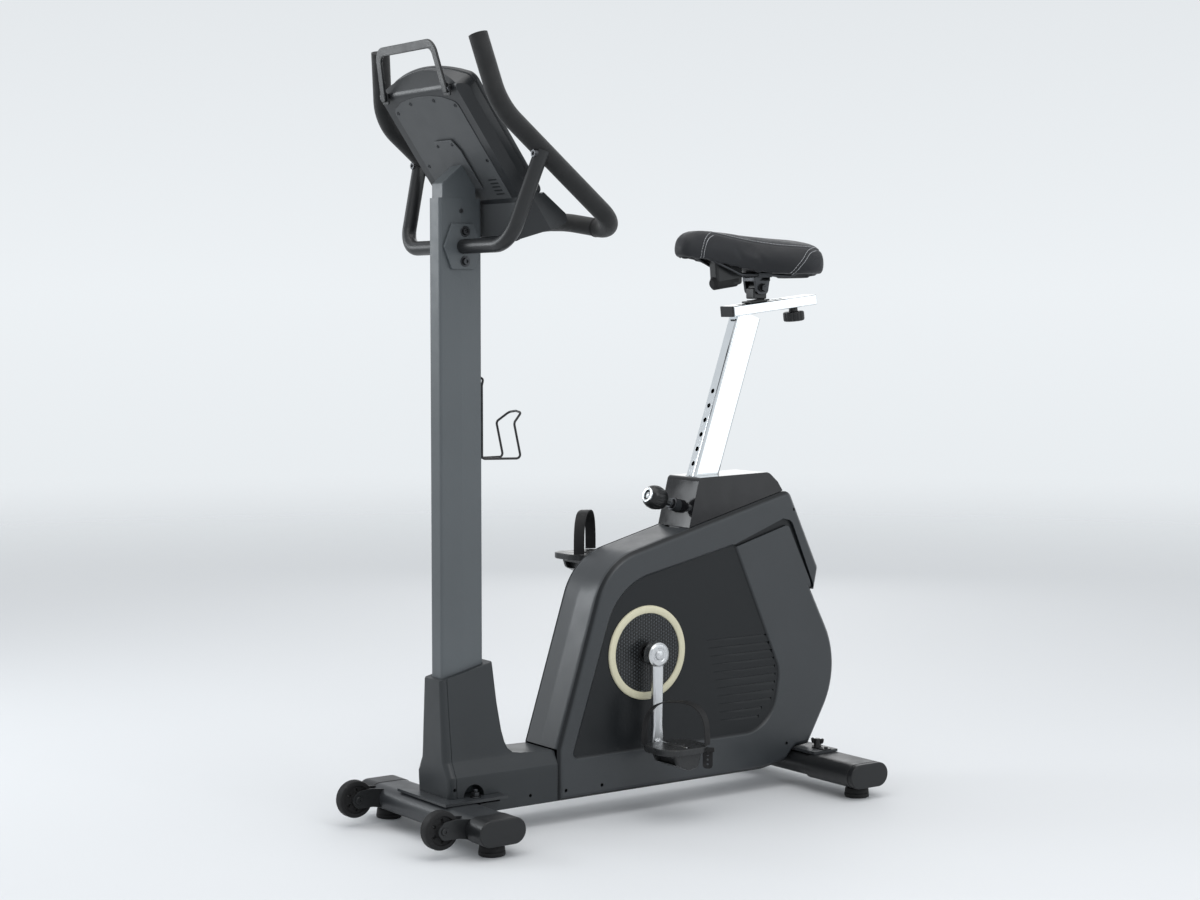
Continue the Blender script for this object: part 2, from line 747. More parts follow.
def spine():
    """Band between the side covers, with a ridge down its middle that fades out at the top."""
    path = rounded(spine_corners(), closed=False, steps=22)
    points = [Vector(point) for point in path]
    dense = [points[0]]
    for start, end in zip(points, points[1:]):
        pieces = max(1, ceil((end - start).length / 0.012))
        dense += [start.lerp(end, (piece + 1) / pieces) for piece in range(pieces)]
    ridge = 0.0042
    columns = []
    for step in range(-12, 13):
        share = step / 12
        x = SPINE_X * share
        crest = max(0.0, 1 - sqrt(share * share + 0.0025))
        edge = -0.0012 * max(0.0, (abs(share) - 0.93) / 0.07) ** 2
        columns.append((x, crest * ridge, edge))
    bm = bmesh.new()
    rows = []
    for index, point in enumerate(dense):
        before, after = dense[max(index - 1, 0)], dense[min(index + 1, len(dense) - 1)]
        along = (after - before).normalized()
        out = Vector((-along.y, along.x))
        fade = min(1.0, max(0.0, (0.470 - point.y) / 0.075))
        fade = fade * fade * (3 - 2 * fade) if point.x < 0.1 else 0.0
        rows.append([
            bm.verts.new((x, point.x + out.x * (rise * fade + edge),
                          point.y + out.y * (rise * fade + edge)))
            for x, rise, edge in columns
        ])
    for lower, upper in zip(rows, rows[1:]):
        for column in range(len(columns) - 1):
            bm.faces.new((lower[column], upper[column], upper[column + 1], lower[column + 1]))
    band = from_bmesh("band", bm)
    out_faces = sum(face.normal.z for face in band.data.polygons) > 0
    wall = band.modifiers.new("wall", "SOLIDIFY")
    wall.thickness = 0.0026
    wall.offset = -1 if out_faces else 1
    band = baked(band)
    opening = plate("opening", [rectangle(0.052, 0.082, 0.004)], 0.30, along_post(-0.05), POST_ROTATION)
    band = solid(cut(band, opening))
    dress(band, "shell_spine", "frame", "matt_plastic", "shell", "cover_spine", sharp=32)


def crank_disc(side, sign):
    """Champagne trim ring round a disc with a field of hexagonal dimples."""
    middle = (sign * RECESS_X, AXLE.y, AXLE.z)
    facing = (0, sign * pi / 2, 0)
    rim, top = TRIM_RADIUS, TRIM_RISE
    ring = turned("ring", [
        (rim - 0.0050, top + 0.0001), (rim - 0.0022, top - 0.0004), (rim - 0.0006, top - 0.0016),
        (rim, top - 0.0034),
        (rim, SEAM), (rim - 0.0135, SEAM), (rim - 0.0150, top - 0.0030), (rim - 0.0142, top - 0.0010),
        (rim - 0.0120, top - 0.0001), (rim - 0.0085, top + 0.0003),
    ], middle, facing, 128)
    dress(ring, f"trim_ring_{side}", "frame", "matt_plastic", "ring")
    level = 0.0016
    back = turned("back", [
        (rim - 0.0140, level - 0.0014), (rim - 0.0140, -0.0023), (0.0160, -0.0023),
        (0.0160, level - 0.0014),
    ], middle, facing, 96)
    field = dimple_field(rim - 0.0135, 0.0180, 0.0068, 0.0025, 0.0016)
    field.data.transform(Matrix.Translation(Vector(middle)) @ rotation_matrix(facing)
                         @ Matrix.Translation((0, 0, level)))
    hub = turned("hub", [
        (0.0195, level + 0.0012), (0.0200, level + 0.0004), (0.0200, level - 0.0016),
        (0.0150, level - 0.0016),
        (0.0150, level + 0.0012),
    ], middle, facing, 64)
    disc = merged("disc", [back, field, hub])
    dress(disc, f"crank_disc_{side}", "frame", "matt_plastic", "disc", f"crank_cover_{side}",
          weighted=False)


def dimple_field(outer, inner, pitch, dimple, deep):
    """A flat ring-shaped sheet of hexagonal cells, each with a sunken centre."""
    bm = bmesh.new()
    shared = {}
    corner = pitch / sqrt(3)
    reach = ceil(outer / pitch) + 2

    def vertex(x, y):
        key = (round(x * 1e6), round(y * 1e6))
        if key not in shared:
            shared[key] = bm.verts.new((x, y, 0))
        return shared[key]

    for row in range(-reach, reach + 1):
        for column in range(-reach, reach + 1):
            x = pitch * (column + row / 2)
            y = pitch * row * sqrt(3) / 2
            if not inner < hypot(x, y) < outer - corner * 0.6:
                continue
            turns = [pi / 6 + pi / 3 * step for step in range(6)]
            rim = [vertex(x + corner * cos(turn), y + corner * sin(turn)) for turn in turns]
            lip = [bm.verts.new((x + dimple * cos(turn), y + dimple * sin(turn), 0)) for turn in turns]
            low = dimple * 0.62
            floor = [bm.verts.new((x + low * cos(turn), y + low * sin(turn), -deep)) for turn in turns]
            for index in range(6):
                after = (index + 1) % 6
                bm.faces.new((rim[index], rim[after], lip[after], lip[index]))
                bm.faces.new((lip[index], lip[after], floor[after], floor[index]))
            bm.faces.new(floor)
    data = bpy.data.meshes.new("field")
    bm.to_mesh(data)
    bm.free()
    return put("field", data)


def seat_shroud():
    """Glossy collar where the post comes out of the covers."""
    lift = 0.0008
    front, rear = 0.149, 0.3865
    outline = rounded([
        (front, top_height(front) + lift), (rear, top_height(rear) + lift), ((0.3735, 0.619), 0.014),
        ((0.350, 0.639), 0.020), ((0.1740, 0.635), 0.010),
    ], steps=8)
    shroud = side_plate("shroud", [outline], -0.050, 0.050)
    bevelled(shroud, 0.011, 6, 50)
    shroud = baked(shroud)
    inside = [
        (front - 0.002, top_height(front) - 0.02), (rear - 0.004, top_height(rear) - 0.02), (0.3690, 0.615),
        (0.3480, 0.6345), (0.1775, 0.6305),
    ]
    hollow = side_plate("hollow", [inside], -0.0450, 0.0450)
    post_hole = plate("post_hole", [rectangle(0.0335, 0.0635, 0.0075, 8)], 0.16, along_post(0.03),
                      POST_ROTATION)
    pin_hole = rod("pin_hole", 0.0138, 0.10, along_post(PIN_DISTANCE, 0.085), PIN_ROTATION, 40)
    shroud = solid(cut(shroud, hollow, post_hole, pin_hole))
    dress(shroud, "seat_collar", "frame", "gloss_plastic", "gloss", "seat_shroud", sharp=30)


# ---------------------------------------------------------------- boot and base

BOOT_FOOT_TOP = 0.142                     # below this the boot is the floor beam's cover
BOOT_FOOT_RADIUS = 0.0015                 # rear corners, where the boot meets the shell
BOOT_REAR_RADIUS = 0.0060                 # rear corners round the mast
BOOT_GROOVE = 0.0011                      # depth of the grooves beside the front corners
BOOT_SCREWS = ((-0.2830, 0.1450), (-0.3930, 0.0930), (-0.3150, 0.0660), (-0.2280, 0.0620))
SAME_PLACE = 1e-6


def boot_ring(z_front, z_rear, half_width, y_front, y_rear, radius, notch):
    """One level of the boot: rounded corners, and a fine groove beside each front corner."""
    depth = y_rear - y_front
    middle = (y_front + y_rear) / 2
    rear_radius = BOOT_FOOT_RADIUS if z_rear < BOOT_FOOT_TOP else BOOT_REAR_RADIUS
    outline = rounded([
        ((half_width, -depth / 2), radius), ((half_width, depth / 2), rear_radius),
        ((-half_width, depth / 2), rear_radius), ((-half_width, -depth / 2), radius),
    ], steps=6)
    start = -depth / 2 + radius + 0.004
    flank = [(0, start), (notch, start + 0.0010), (0, start + 0.0020)]
    flank += [(0, start + 0.0020 + (depth - 2 * radius - 0.006) * share) for share in (0.25, 0.5, 0.75)]
    sides = []
    for index, (x, y) in enumerate(outline):
        sides.append((x, y))
        after = outline[(index + 1) % len(outline)]
        along_flank = hypot(after[0] - x, after[1] - y) >= radius and abs(x - after[0]) < SAME_PLACE
        if along_flank and x > 0:
            sides += [(x - sunk, spot) for sunk, spot in flank]
        elif along_flank:
            sides += [(x + sunk, spot) for sunk, spot in reversed(flank)]
    ring = []
    for x, y in sides:
        share = (y + depth / 2) / depth
        ring.append((x, y + middle, z_front + (z_rear - z_front) * share))
    return ring


def mast_boot():
    """Flared cover round the foot of the mast, swept into the cover of the floor beam."""
    levels = (
        # front z, rear z, half width, front y, rear y, corner radius
        (0.0435, 0.0435, 0.0550, -0.4010, -0.1662, 0.010),
        (0.0450, 0.0450, 0.0562, -0.4020, -0.1662, 0.010),
        (0.1000, 0.1000, 0.0570, -0.4050, -0.1662, 0.011),
        (0.1135, 0.1135, 0.0570, -0.4055, -0.1662, 0.011),
        (0.1155, 0.1155, 0.0562, -0.4056, -0.1662, 0.011),
        (0.1220, 0.1220, 0.0522, -0.4058, -0.1662, 0.011),
        (0.1310, 0.1310, 0.0480, -0.4060, -0.1662, 0.011),
        (0.1360, 0.1368, 0.0455, -0.4060, -0.1664, 0.011),
        (0.1385, 0.1395, 0.0440, -0.4060, -0.1720, 0.011),
        (0.1400, 0.1405, 0.0431, -0.4060, -0.2100, 0.011),
        (0.1412, 0.1418, 0.0428, -0.4060, -0.2400, 0.011),
        (0.1445, 0.1450, 0.0422, -0.4060, -0.2560, 0.011),
        (0.1520, 0.1530, 0.0414, -0.4060, -0.2660, 0.011),
        (0.1640, 0.1660, 0.0404, -0.4060, -0.2725, 0.011),
        (0.1850, 0.1890, 0.0388, -0.4060, -0.2785, 0.010),
        (0.2300, 0.2400, 0.0352, -0.4060, -0.2860, 0.009),
        (0.2870, 0.3120, 0.0310, -0.4060, -0.2930, 0.008),
        (0.2895, 0.3150, 0.0304, -0.4055, -0.2935, 0.008),
        (0.2900, 0.3160, 0.0292, -0.4045, -0.2942, 0.007),
    )
    boot = lofted("boot", [boot_ring(*level, BOOT_GROOVE) for level in levels])
    stabiliser_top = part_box("front_stabiliser")[1].z
    plate_top = 0.0768
    mast_room = plate("mast_room", [rectangle(0.0412, 0.0900, 0.005)], 0.60, (0, -0.3517, 0.30))
    beam_room = box("beam_room", (-0.0304, -0.3960, 0.03), (0.0304, -0.1, 0.0984))
    base_room = box("base_room", (-0.10, -0.50, 0.0), (0.10, -0.3425, plate_top))
    plate_room = box("plate_room", (-0.09, -0.45, stabiliser_top - 0.01), (0.09, -0.2955, plate_top))
    arch = rod("arch", 0.022, 0.30, (0, -0.352, plate_top), sides=40)
    cut(boot, mast_room, beam_room, base_room, plate_room, arch)
    for sign in (1, -1):
        for y, z in BOOT_SCREWS:
            cut(boot, rod("screw_hole", 0.0032, 0.030, (sign * 0.058, y, z), sides=20))
    boot = solid(boot)
    dress(boot, "boot_cover", "frame", "matt_plastic", "boot", "mast_boot", sharp=30)


def flat_oval(depth, height, steps=20):
    radius = height / 2
    straight = depth / 2 - radius
    points = []
    for side, start in ((1, -pi / 2), (-1, pi / 2)):
        for step in range(steps + 1):
            angle = start + pi * step / steps
            points.append((side * straight + radius * cos(angle), radius * sin(angle)))
    return points


def ends_of(node):
    low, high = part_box(node)
    return low, high, (low + high) / 2


FRONT_BAR_Y = -0.393
FRONT_BAR_HALF = 0.195
REAR_STUB_HALF = 0.110                    # slimmer middle of the rear stabiliser
REAR_SLEEVE_START = 0.104
WHEEL_RADIUS = 0.035
WHEEL_WIDTH = 0.022
MOUNT_TOP = 0.0765                        # top of both mounting plates


def stabilisers():
    """Flat-oval floor tubes: the rear one has thick outer sleeves on a slimmer middle."""
    low, high, middle = ends_of("rear_stabiliser")
    depth, height = high.y - low.y, high.z - low.z
    stub = side_plate("stub", [shifted(flat_oval(depth - 0.008, height - 0.006), middle.y, middle.z)],
                      -REAR_STUB_HALF, REAR_STUB_HALF)
    dress(stub, "rear_tube", "frame", "frame_paint", "coat_dark", "rear_stabiliser")
    outline = shifted(flat_oval(depth, height), middle.y, middle.z)

    def rear_sleeve(side, sign):
        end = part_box(f"rear_cap_{side}")[1 if sign > 0 else 0].x
        x_low, x_high = ordered(sign * REAR_SLEEVE_START, end - sign * 0.0135)
        sleeve = side_plate("sleeve", [outline], x_low, x_high, 0.0008)
        dress(sleeve, f"rear_sleeve_{side}", "frame", "frame_paint", "coat_dark")
        cap_low, cap_high = ordered(end - sign * 0.0130, end)
        cap = side_plate("cap", [outline], cap_low, cap_high, 0.0022)
        dress(cap, f"rear_end_{side}", "frame", "matt_plastic", "shell_dark", f"rear_cap_{side}")

    on_both_sides(rear_sleeve)

    outline_front = shifted(flat_oval(depth - 0.003, height - 0.002), FRONT_BAR_Y, middle.z)
    bar = side_plate("bar", [outline_front], -FRONT_BAR_HALF, FRONT_BAR_HALF)
    dress(bar, "front_tube", "frame", "frame_paint", "coat_mid", "front_stabiliser")

    def front_end(side, sign):
        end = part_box(f"front_cap_{side}")[1 if sign > 0 else 0].x
        cap_low, cap_high = ordered(end - sign * 0.048, end)
        cap = side_plate("cap", [shifted(flat_oval(depth, height), FRONT_BAR_Y, middle.z)], cap_low,
                         cap_high, 0.0025)
        dress(cap, f"front_end_{side}", "frame", "matt_plastic", "shell_dark", f"front_cap_{side}")
        wheel_fork(side, sign)

    on_both_sides(front_end)


def wheel_fork(side, sign):
    """Curved cheek on each side of the transport wheel, with the wheel's axle bolt."""
    wheel = mid(f"transport_wheel_{side}")
    width = WHEEL_WIDTH
    outline = rounded([
        (-0.425, 0.030), (-0.425, 0.0660), ((wheel.y + 0.026, 0.0700), 0.018),
        ((wheel.y + 0.002, wheel.z + 0.0165), 0.012),
        ((wheel.y - 0.016, wheel.z + 0.002), 0.0110), ((wheel.y - 0.004, wheel.z - 0.0155), 0.0110),
        ((wheel.y + 0.030, 0.0350), 0.012),
    ], steps=8)
    parts = []
    for offset in (width / 2 + 0.0040, -width / 2 - 0.0040):
        x = wheel.x + offset
        parts.append(side_plate("cheek", [outline], x - 0.0018, x + 0.0018, 0.0005))
    for offset, turn in ((width / 2 + 0.0058, pi / 2), (-width / 2 - 0.0058, -pi / 2)):
        parts.append(screw_head(0.0068, 0.0035, (wheel.x + offset, wheel.y, wheel.z), (0, turn, 0)))
    parts.append(rod("pin", 0.0040, width + 0.010, wheel, sides=24))
    fork = merged("fork", parts)
    dress(fork, f"wheel_fork_{side}", "frame", "frame_paint", "coat_dark")
    transport_wheel(side, wheel, width)


def transport_wheel(side, wheel, width):
    """Wheel with a rounded tyre and six slots round its hub."""
    radius, half = WHEEL_RADIUS, width / 2
    tyre = turned("tyre", [
        (radius - 0.0040, half), (radius - 0.0012, half - 0.0014), (radius, half - 0.0045),
        (radius, 0.0045 - half),
        (radius - 0.0012, 0.0014 - half), (radius - 0.0040, -half), (0.0265, -half),
        (0.0250, 0.0030 - half),
        (0.0120, 0.0030 - half), (0.0105, -half), (0.0044, -half), (0.0044, half), (0.0105, half),
        (0.0120, half - 0.0030), (0.0250, half - 0.0030), (0.0265, half),
    ], wheel, ALONG_X, 72)
    for step in range(6):
        angle = pi / 3 * step
        slot = plate("slot", [rectangle(0.0085, 0.0060, 0.0028)], 0.05, (0, 0, 0), (0, 0, 0))
        turn = Matrix.Rotation(angle, 4, "Z") @ Matrix.Translation((0.0180, 0, 0))
        slot.data.transform(Matrix.Translation(wheel) @ rotation_matrix(ALONG_X) @ turn)
        cut(tyre, slot)
    tyre = solid(tyre, 0.0004, 2, 40)
    dress(tyre, f"tyre_{side}", f"wheel_{side}", "rubber", "rubber", f"transport_wheel_{side}")


def feet():
    for end_name in ("front", "rear"):
        def foot(side, sign):
            node = f"{end_name}_foot_{side}"
            low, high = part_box(node)
            middle = (low + high) / 2
            radius, top = (high.x - low.x) / 2, 0.0205
            profile = [
                (0, high.z), (0.0050, high.z), (0.0050, top), (radius - 0.0065, top),
                (radius - 0.0032, top - 0.0012),
                (radius - 0.0016, top - 0.0040), (radius - 0.0008, 0.0098), (radius - 0.0016, 0.0090),
                (radius - 0.0004, 0.0080), (radius, 0.0040), (radius - 0.0004, 0.0012),
                (radius - 0.0022, 0), (0, 0),
            ]
            pad = turned("pad", profile, (middle.x, middle.y, 0), (0, 0, 0), 64)
            dress(pad, f"{end_name}_pad_{side}", f"foot_{end_name}_{side}", "rubber", "rubber", node)
        on_both_sides(foot)


def base_bolts():
    """Washer plate and bolts on the front mount, wing bolts on the rear one."""
    parts = []
    top = MOUNT_TOP
    for sign in (1, -1):
        washer = rod("washer", 0.0105, 0.0020, (sign * 0.062, -0.3520, top + 0.0010), (0, 0, 0), 32, 0.0004)
        nut = plate("nut", [circle(0.0080, 6)], 0.0075, (sign * 0.062, -0.3520, top + 0.0057), (0, 0, 0.3),
                    0.0006)
        stud = rod("stud", 0.0042, 0.0060, (sign * 0.062, -0.3520, top + 0.0120), (0, 0, 0), 24, 0.0010)
        parts += [washer, nut, stud]
    dress(merged("bolts", parts), "mount_bolts_front", "frame", "steel", "black_steel")
    parts = []
    for sign in (1, -1):
        middle = Vector((sign * 0.072, 0.4640, top))
        parts.append(rod("washer", 0.0110, 0.0022, middle + Vector((0, 0, 0.0011)), (0, 0, 0), 32, 0.0004))
        parts.append(turned("hub", [
            (0, 0.0160), (0.0050, 0.0160), (0.0062, 0.0145), (0.0078, 0.0022), (0, 0.0022),
        ], middle, (0, 0, 0), 32))
        for turn in (0.45, 0.45 + pi):
            wing = plate("wing", [rounded([
                ((0.003, 0.004), 0.0015), ((0.0125, 0.0065), 0.0030), ((0.0150, 0.0185), 0.0030),
                ((0.0085, 0.0160), 0.003),
                ((0.003, 0.013), 0.001),
            ], steps=6)], 0.0034, (0, 0, 0), (0, 0, 0), 0.0010)
            wing.data.transform(Matrix.Translation(middle) @ Matrix.Rotation(turn, 4, "Z")
                                @ Matrix.Rotation(pi / 2, 4, "X"))
            parts.append(wing)
        parts.append(plate("tab", [rectangle(0.040, 0.022, 0.004)], 0.0022,
                           (sign * 0.094, 0.4560, top + 0.0008), (0, 0, 0), 0.0006))
        parts.append(rod("rivet", 0.0038, 0.0050, (sign * 0.107, 0.4560, top + 0.0030), (0, 0, 0), 24,
                         0.0012))
    dress(merged("wings", parts), "mount_bolts_rear", "frame", "matt_plastic", "satin")


# ---------------------------------------------------------------- cranks and pedals

PEDAL_INNER, PEDAL_OUTER = 0.101, 0.197   # sides of a pedal, from the middle of the bike
PEDAL_HALF_LENGTH = 0.055


def crank(side, sign):
    """Forged arm: thick at its boss, slimmer towards the pedal, with softened edges."""
    rings = []
    for share in (0.0, 0.06, 0.14, 0.24, 0.36, 0.5, 0.65, 0.8, 0.9, 0.96, 1.0, 1.03, 1.055, 1.07):
        reach = CRANK_LENGTH * share
        half = 0.0128 - 0.0024 * min(share, 0.8) / 0.8
        if share > 0.80:
            half = 0.0104 + 0.0022 * sin(pi / 2 * min((share - 0.8) / 0.2, 1))
        if share > 1.0:
            half = 0.0126 * sqrt(max(0.0, 1 - ((share - 1.0) / 0.0742) ** 2))
        swell = max(0.0, 1 - share / 0.30)
        inner = CRANK_X - 0.0055 - 0.0060 * swell * swell
        outer = CRANK_X + 0.0065
        chamfer = min(0.0026, half * 0.6)
        section = [
            (inner + 0.002, -half), (outer - chamfer, -half), (outer, -half + chamfer),
            (outer, half - chamfer),
            (outer - chamfer, half), (inner + 0.002, half), (inner, half - 0.002), (inner, -half + 0.002),
        ]
        rings.append([(sign * x, AXLE.y + y, AXLE.z - sign * reach) for x, y in section])
    arm = bevelled(lofted("arm", rings), 0.0010, 3, 25)
    arm = baked(arm)
    face = sign * (CRANK_X + 0.009)
    boss = turned("boss", [
        (0, 0.0085), (0.0130, 0.0085), (0.0138, 0.0090), (0.0190, 0.0090), (0.0205, 0.0084),
        (0.0215, 0.0072),
        (0.0235, 0.0064), (0.0240, 0.0050), (0.0240, -0.0100), (0.0228, -0.0112), (0, -0.0112),
    ], (sign * CRANK_X, AXLE.y, AXLE.z), (0, sign * pi / 2, 0), 96)
    cap = turned("cap", [
        (0, 0.0032), (0.0070, 0.0030), (0.0088, 0.0020), (0.0096, 0.0004), (0.0096, -0.0015),
        (0.0112, -0.0015),
        (0.0112, -0.0030), (0, -0.0030),
    ], (face, AXLE.y, AXLE.z), (0, sign * pi / 2, 0), 72)
    tip = AXLE.z - sign * CRANK_LENGTH
    spindle_low, spindle_high = ordered(sign * CRANK_X, sign * 0.182)
    spindle = rod("spindle", 0.0062, spindle_high - spindle_low,
                  ((spindle_low + spindle_high) / 2, AXLE.y, tip), sides=32, edge=0.001)
    flats = plate("flats", [circle(0.0095, 6)], 0.0045, (sign * (CRANK_X + 0.0095), AXLE.y, tip), ALONG_X,
                  0.0006)
    whole = merged("crank", [arm, boss, cap, spindle, flats])
    dress(whole, f"crank_arm_{side}", "crank_set", "aluminium", "aluminium", f"crank_{side}", sharp=32)


def pedal(side, sign):
    """Platform pedal with treads, a raised centre boss and a hollow counterweight under it."""
    axis = Vector((0, AXLE.y, AXLE.z - sign * CRANK_LENGTH))
    x_low, x_high = ordered(sign * PEDAL_INNER, sign * PEDAL_OUTER)
    width = x_high - x_low
    mid_x = (x_low + x_high) / 2
    half = PEDAL_HALF_LENGTH
    outline = rounded([
        ((width / 2, -half), 0.036), ((width / 2, half), 0.036), ((-width / 2, half), 0.030),
        ((-width / 2, -half), 0.030),
    ], steps=10)
    body = plate("body", [outline], 0.012, (mid_x, axis.y, axis.z), (0, 0, 0), 0.0022)
    weight = side_plate("weight", [rounded([
        (axis.y - 0.034, axis.z + 0.001), ((axis.y - 0.024, axis.z - 0.026), 0.010),
        ((axis.y + 0.002, axis.z - 0.038), 0.010),
        ((axis.y + 0.024, axis.z - 0.034), 0.010), (axis.y + 0.034, axis.z + 0.001),
    ], steps=8)], x_low + 0.010, x_high - 0.010, 0.0025)
    join(body, weight)
    bore = rod("bore", 0.0070, 0.4, (sign * (PEDAL_OUTER - 0.008 - 0.2), axis.y, axis.z), sides=32)
    window = box("window", (x_low + 0.018, axis.y - 0.012, axis.z - 0.0290),
                 (x_high - 0.018, axis.y + 0.06, axis.z - 0.0135))
    rear_window = box("window", (x_low + 0.018, axis.y - 0.06, axis.z - 0.0270),
                      (x_high - 0.018, axis.y - 0.014, axis.z - 0.0135))
    cut(body, bore, window, rear_window)
    body = solid(body, 0.0006, 2, 40)
    top = axis.z + 0.0060
    boss = turned("boss", [
        (0, 0.0010), (0.0028, 0.0010), (0.0034, 0.0022), (0.0135, 0.0026), (0.0160, 0.0018),
        (0.0168, -0.001), (0, -0.001),
    ], (mid_x, axis.y, top), (0, 0, 0), 48)
    whole = merged("pedal", [body, boss])
    dress(whole, f"pedal_body_{side}", f"pedal_{side}", "matt_plastic", "pedal", f"pedal_{side}")
    strap(side, sign, axis)


def strap(side, sign, axis):
    """Band over the foot with a buckle and a loose tail with adjusting holes."""
    inner = Vector((sign * 0.107, axis.y - 0.045, axis.z + 0.0066))
    outer = Vector((sign * 0.191, axis.y + 0.043, axis.z + 0.0066))
    across = (outer - inner).normalized()
    broad = Vector((-across.y, across.x, 0))
    if broad.y < 0:
        broad = -broad
    broad = (broad + across * 0.40).normalized()
    half_span = (outer - inner).length / 2
    middle = (inner + outer) / 2
    height, half_width, thickness, steps = 0.083, 0.0105, 0.0022, 48

    def point(step, drop, side_share):
        angle = pi * step / steps
        spread = abs(cos(angle)) ** 0.75 * (1 if cos(angle) > 0 else -1)
        rise = (height - drop) * max(sin(angle), 0.0) ** 0.62
        return middle - across * (spread * (half_span - drop)) + broad * (side_share
                * half_width) + Vector((0, 0, rise))

    rings = []
    for step in range(steps + 1):
        rings.append([
            point(step, 0, -0.93), point(step, 0, 0.93), point(step, 0.0004, 1),
            point(step, thickness - 0.0004, 1),
            point(step, thickness, 0.93), point(step, thickness, -0.93),
            point(step, thickness - 0.0004, -1),
            point(step, 0.0004, -1),
        ])
    band = lofted("band", rings)
    dress(band, f"strap_{side}", f"pedal_{side}", "rubber", "rubber", f"pedal_strap_{side}", sharp=50)
    edge_x = sign * PEDAL_OUTER
    tail_middle = Vector((edge_x - sign * 0.0040, axis.y + 0.041, axis.z - 0.016))
    tail_outline = rounded([
        ((-0.0095, -0.0210), 0.0070), ((0.0095, -0.0210), 0.0070), (0.0095, 0.0150), (-0.0095, 0.0150),
    ], steps=6)
    holes = [circle(0.0021, 14, (0, -0.0125 + 0.0085 * step)) for step in range(3)]
    turn = atan2(across.y, across.x)
    tail = plate("tail", [tail_outline] + holes, 0.0022, (0, 0, 0), (0, 0, 0), 0.0004)
    tail.data.transform(Matrix.Translation(tail_middle) @ Matrix.Rotation(turn, 4, "Z")
                        @ Matrix.Rotation(pi / 2, 4, "X"))
    knob = rod("knob", 0.0038, 0.0050, tail_middle + Vector((0, 0, 0.0085)), (pi / 2, 0, turn), 24, 0.0010)
    buckle = box("buckle", (-0.0125, -0.0030, -0.0040), (0.0125, 0.0030, 0.0040))
    buckle = baked(bevelled(buckle, 0.0010, 2))
    buckle.data.transform(Matrix.Translation(tail_middle + Vector((0, 0, 0.0150))) @ Matrix.Rotation(turn,
            4, "Z"))
    dress(merged("tail", [tail, knob, buckle]), f"strap_tail_{side}", f"pedal_{side}", "rubber", "rubber")


# ---------------------------------------------------------------- seat

RAIL_TILT = radians(6.5)
RAIL_FRONT = 0.283
RAIL_REAR = 0.502
RAIL_START = Vector((0, RAIL_FRONT, 0.9585))   # middle of the rail at its front end
RAIL_ALONG = Vector((0, cos(RAIL_TILT), sin(RAIL_TILT)))
RAIL_UP = Vector((0, -sin(RAIL_TILT), cos(RAIL_TILT)))
RAIL_LENGTH = (RAIL_REAR - RAIL_FRONT) / cos(RAIL_TILT)
RAIL_HEIGHT = 0.021
RAIL_HALF = 0.0195
RAIL_ROTATION = (RAIL_TILT, 0, 0)


def rail_point(distance, up=0.0):
    return RAIL_START + RAIL_ALONG * distance + RAIL_UP * up


def rail_distance(y):
    return (y - RAIL_FRONT) / cos(RAIL_TILT)


def rail_box(name, half_width, start, end, bottom, top):
    bm = bmesh.new()
    bmesh.ops.create_cube(bm, size=1)
    bmesh.ops.scale(bm, vec=(2 * half_width, end - start, top - bottom), verts=bm.verts)
    obj = from_bmesh(name, bm)
    obj.location = rail_point((start + end) / 2, (bottom + top) / 2)
    obj.rotation_euler = RAIL_ROTATION
    return obj


def seat_post():
    """Chromed post of flat section with rounded corners and a row of holes down its front."""
    outline = rectangle(0.030, 0.060, 0.0062, 10)
    hollow = rectangle(0.026, 0.056, 0.0044, 10)
    low, high = -0.235, 0.330
    post = plate("post", [outline, hollow], high - low, along_post((low + high) / 2), POST_ROTATION)
    for step in range(11):
        distance = PIN_DISTANCE + HOLE_PITCH * (step - 2)
        cut(post, rod("hole", 0.0050, 0.02, along_post(distance, 0.030), PIN_ROTATION, 28))
    cut(post, rail_box("room", 0.06, -0.1, RAIL_LENGTH + 0.1, -RAIL_HEIGHT / 2 - SEAM, 0.15))
    dress(solid(post, 0.0004, 2, 50), "post", "seat_height", "chrome", "chrome", "seat_post", sharp=30)


def seat_rail():
    wall = 0.0025
    rail = rail_box("rail", RAIL_HALF, 0.002, RAIL_LENGTH, -RAIL_HEIGHT / 2, RAIL_HEIGHT / 2)
    bevelled(rail, 0.0024, 4)
    rail = baked(rail)
    hollow = rail_box("hollow", RAIL_HALF - wall, -0.05, RAIL_LENGTH + 0.05, -RAIL_HEIGHT / 2 + wall,
                      RAIL_HEIGHT / 2 - wall)
    top_slot = rail_box("top_slot", 0.0085, rail_distance(0.357) - 0.052, rail_distance(0.357) + 0.072, 0,
                        0.05)
    low_slot = rail_box("low_slot", 0.0062, rail_distance(0.453) - 0.042, rail_distance(0.453) + 0.036,
                        -0.05, 0)
    cut(rail, hollow, top_slot, low_slot)
    dress(solid(rail, 0.0003, 2, 50), "rail", "seat_height", "chrome", "chrome", "seat_rail", sharp=30)
    plug = rail_box("plug", RAIL_HALF + 0.0002, -0.0025, 0.0018, -RAIL_HEIGHT / 2 - 0.0002,
                    RAIL_HEIGHT / 2 + 0.0002)
    bevelled(plug, 0.0014, 3)
    plug = baked(plug)
    inner = rail_box("inner", RAIL_HALF - wall - 0.0003, 0.0010, 0.0150, -RAIL_HEIGHT / 2 + wall,
                     RAIL_HEIGHT / 2 - wall)
    rear = rail_box("rear", RAIL_HALF - wall - 0.0002, RAIL_LENGTH - 0.0030, RAIL_LENGTH + 0.0015,
                    -RAIL_HEIGHT / 2 + wall,
                    RAIL_HEIGHT / 2 - wall)
    rear = baked(bevelled(rear, 0.0008, 2))
    dress(merged("plugs", [plug, inner, rear]), "rail_plugs", "seat_height", "matt_plastic", "shell_dark",
          "rail_cap")


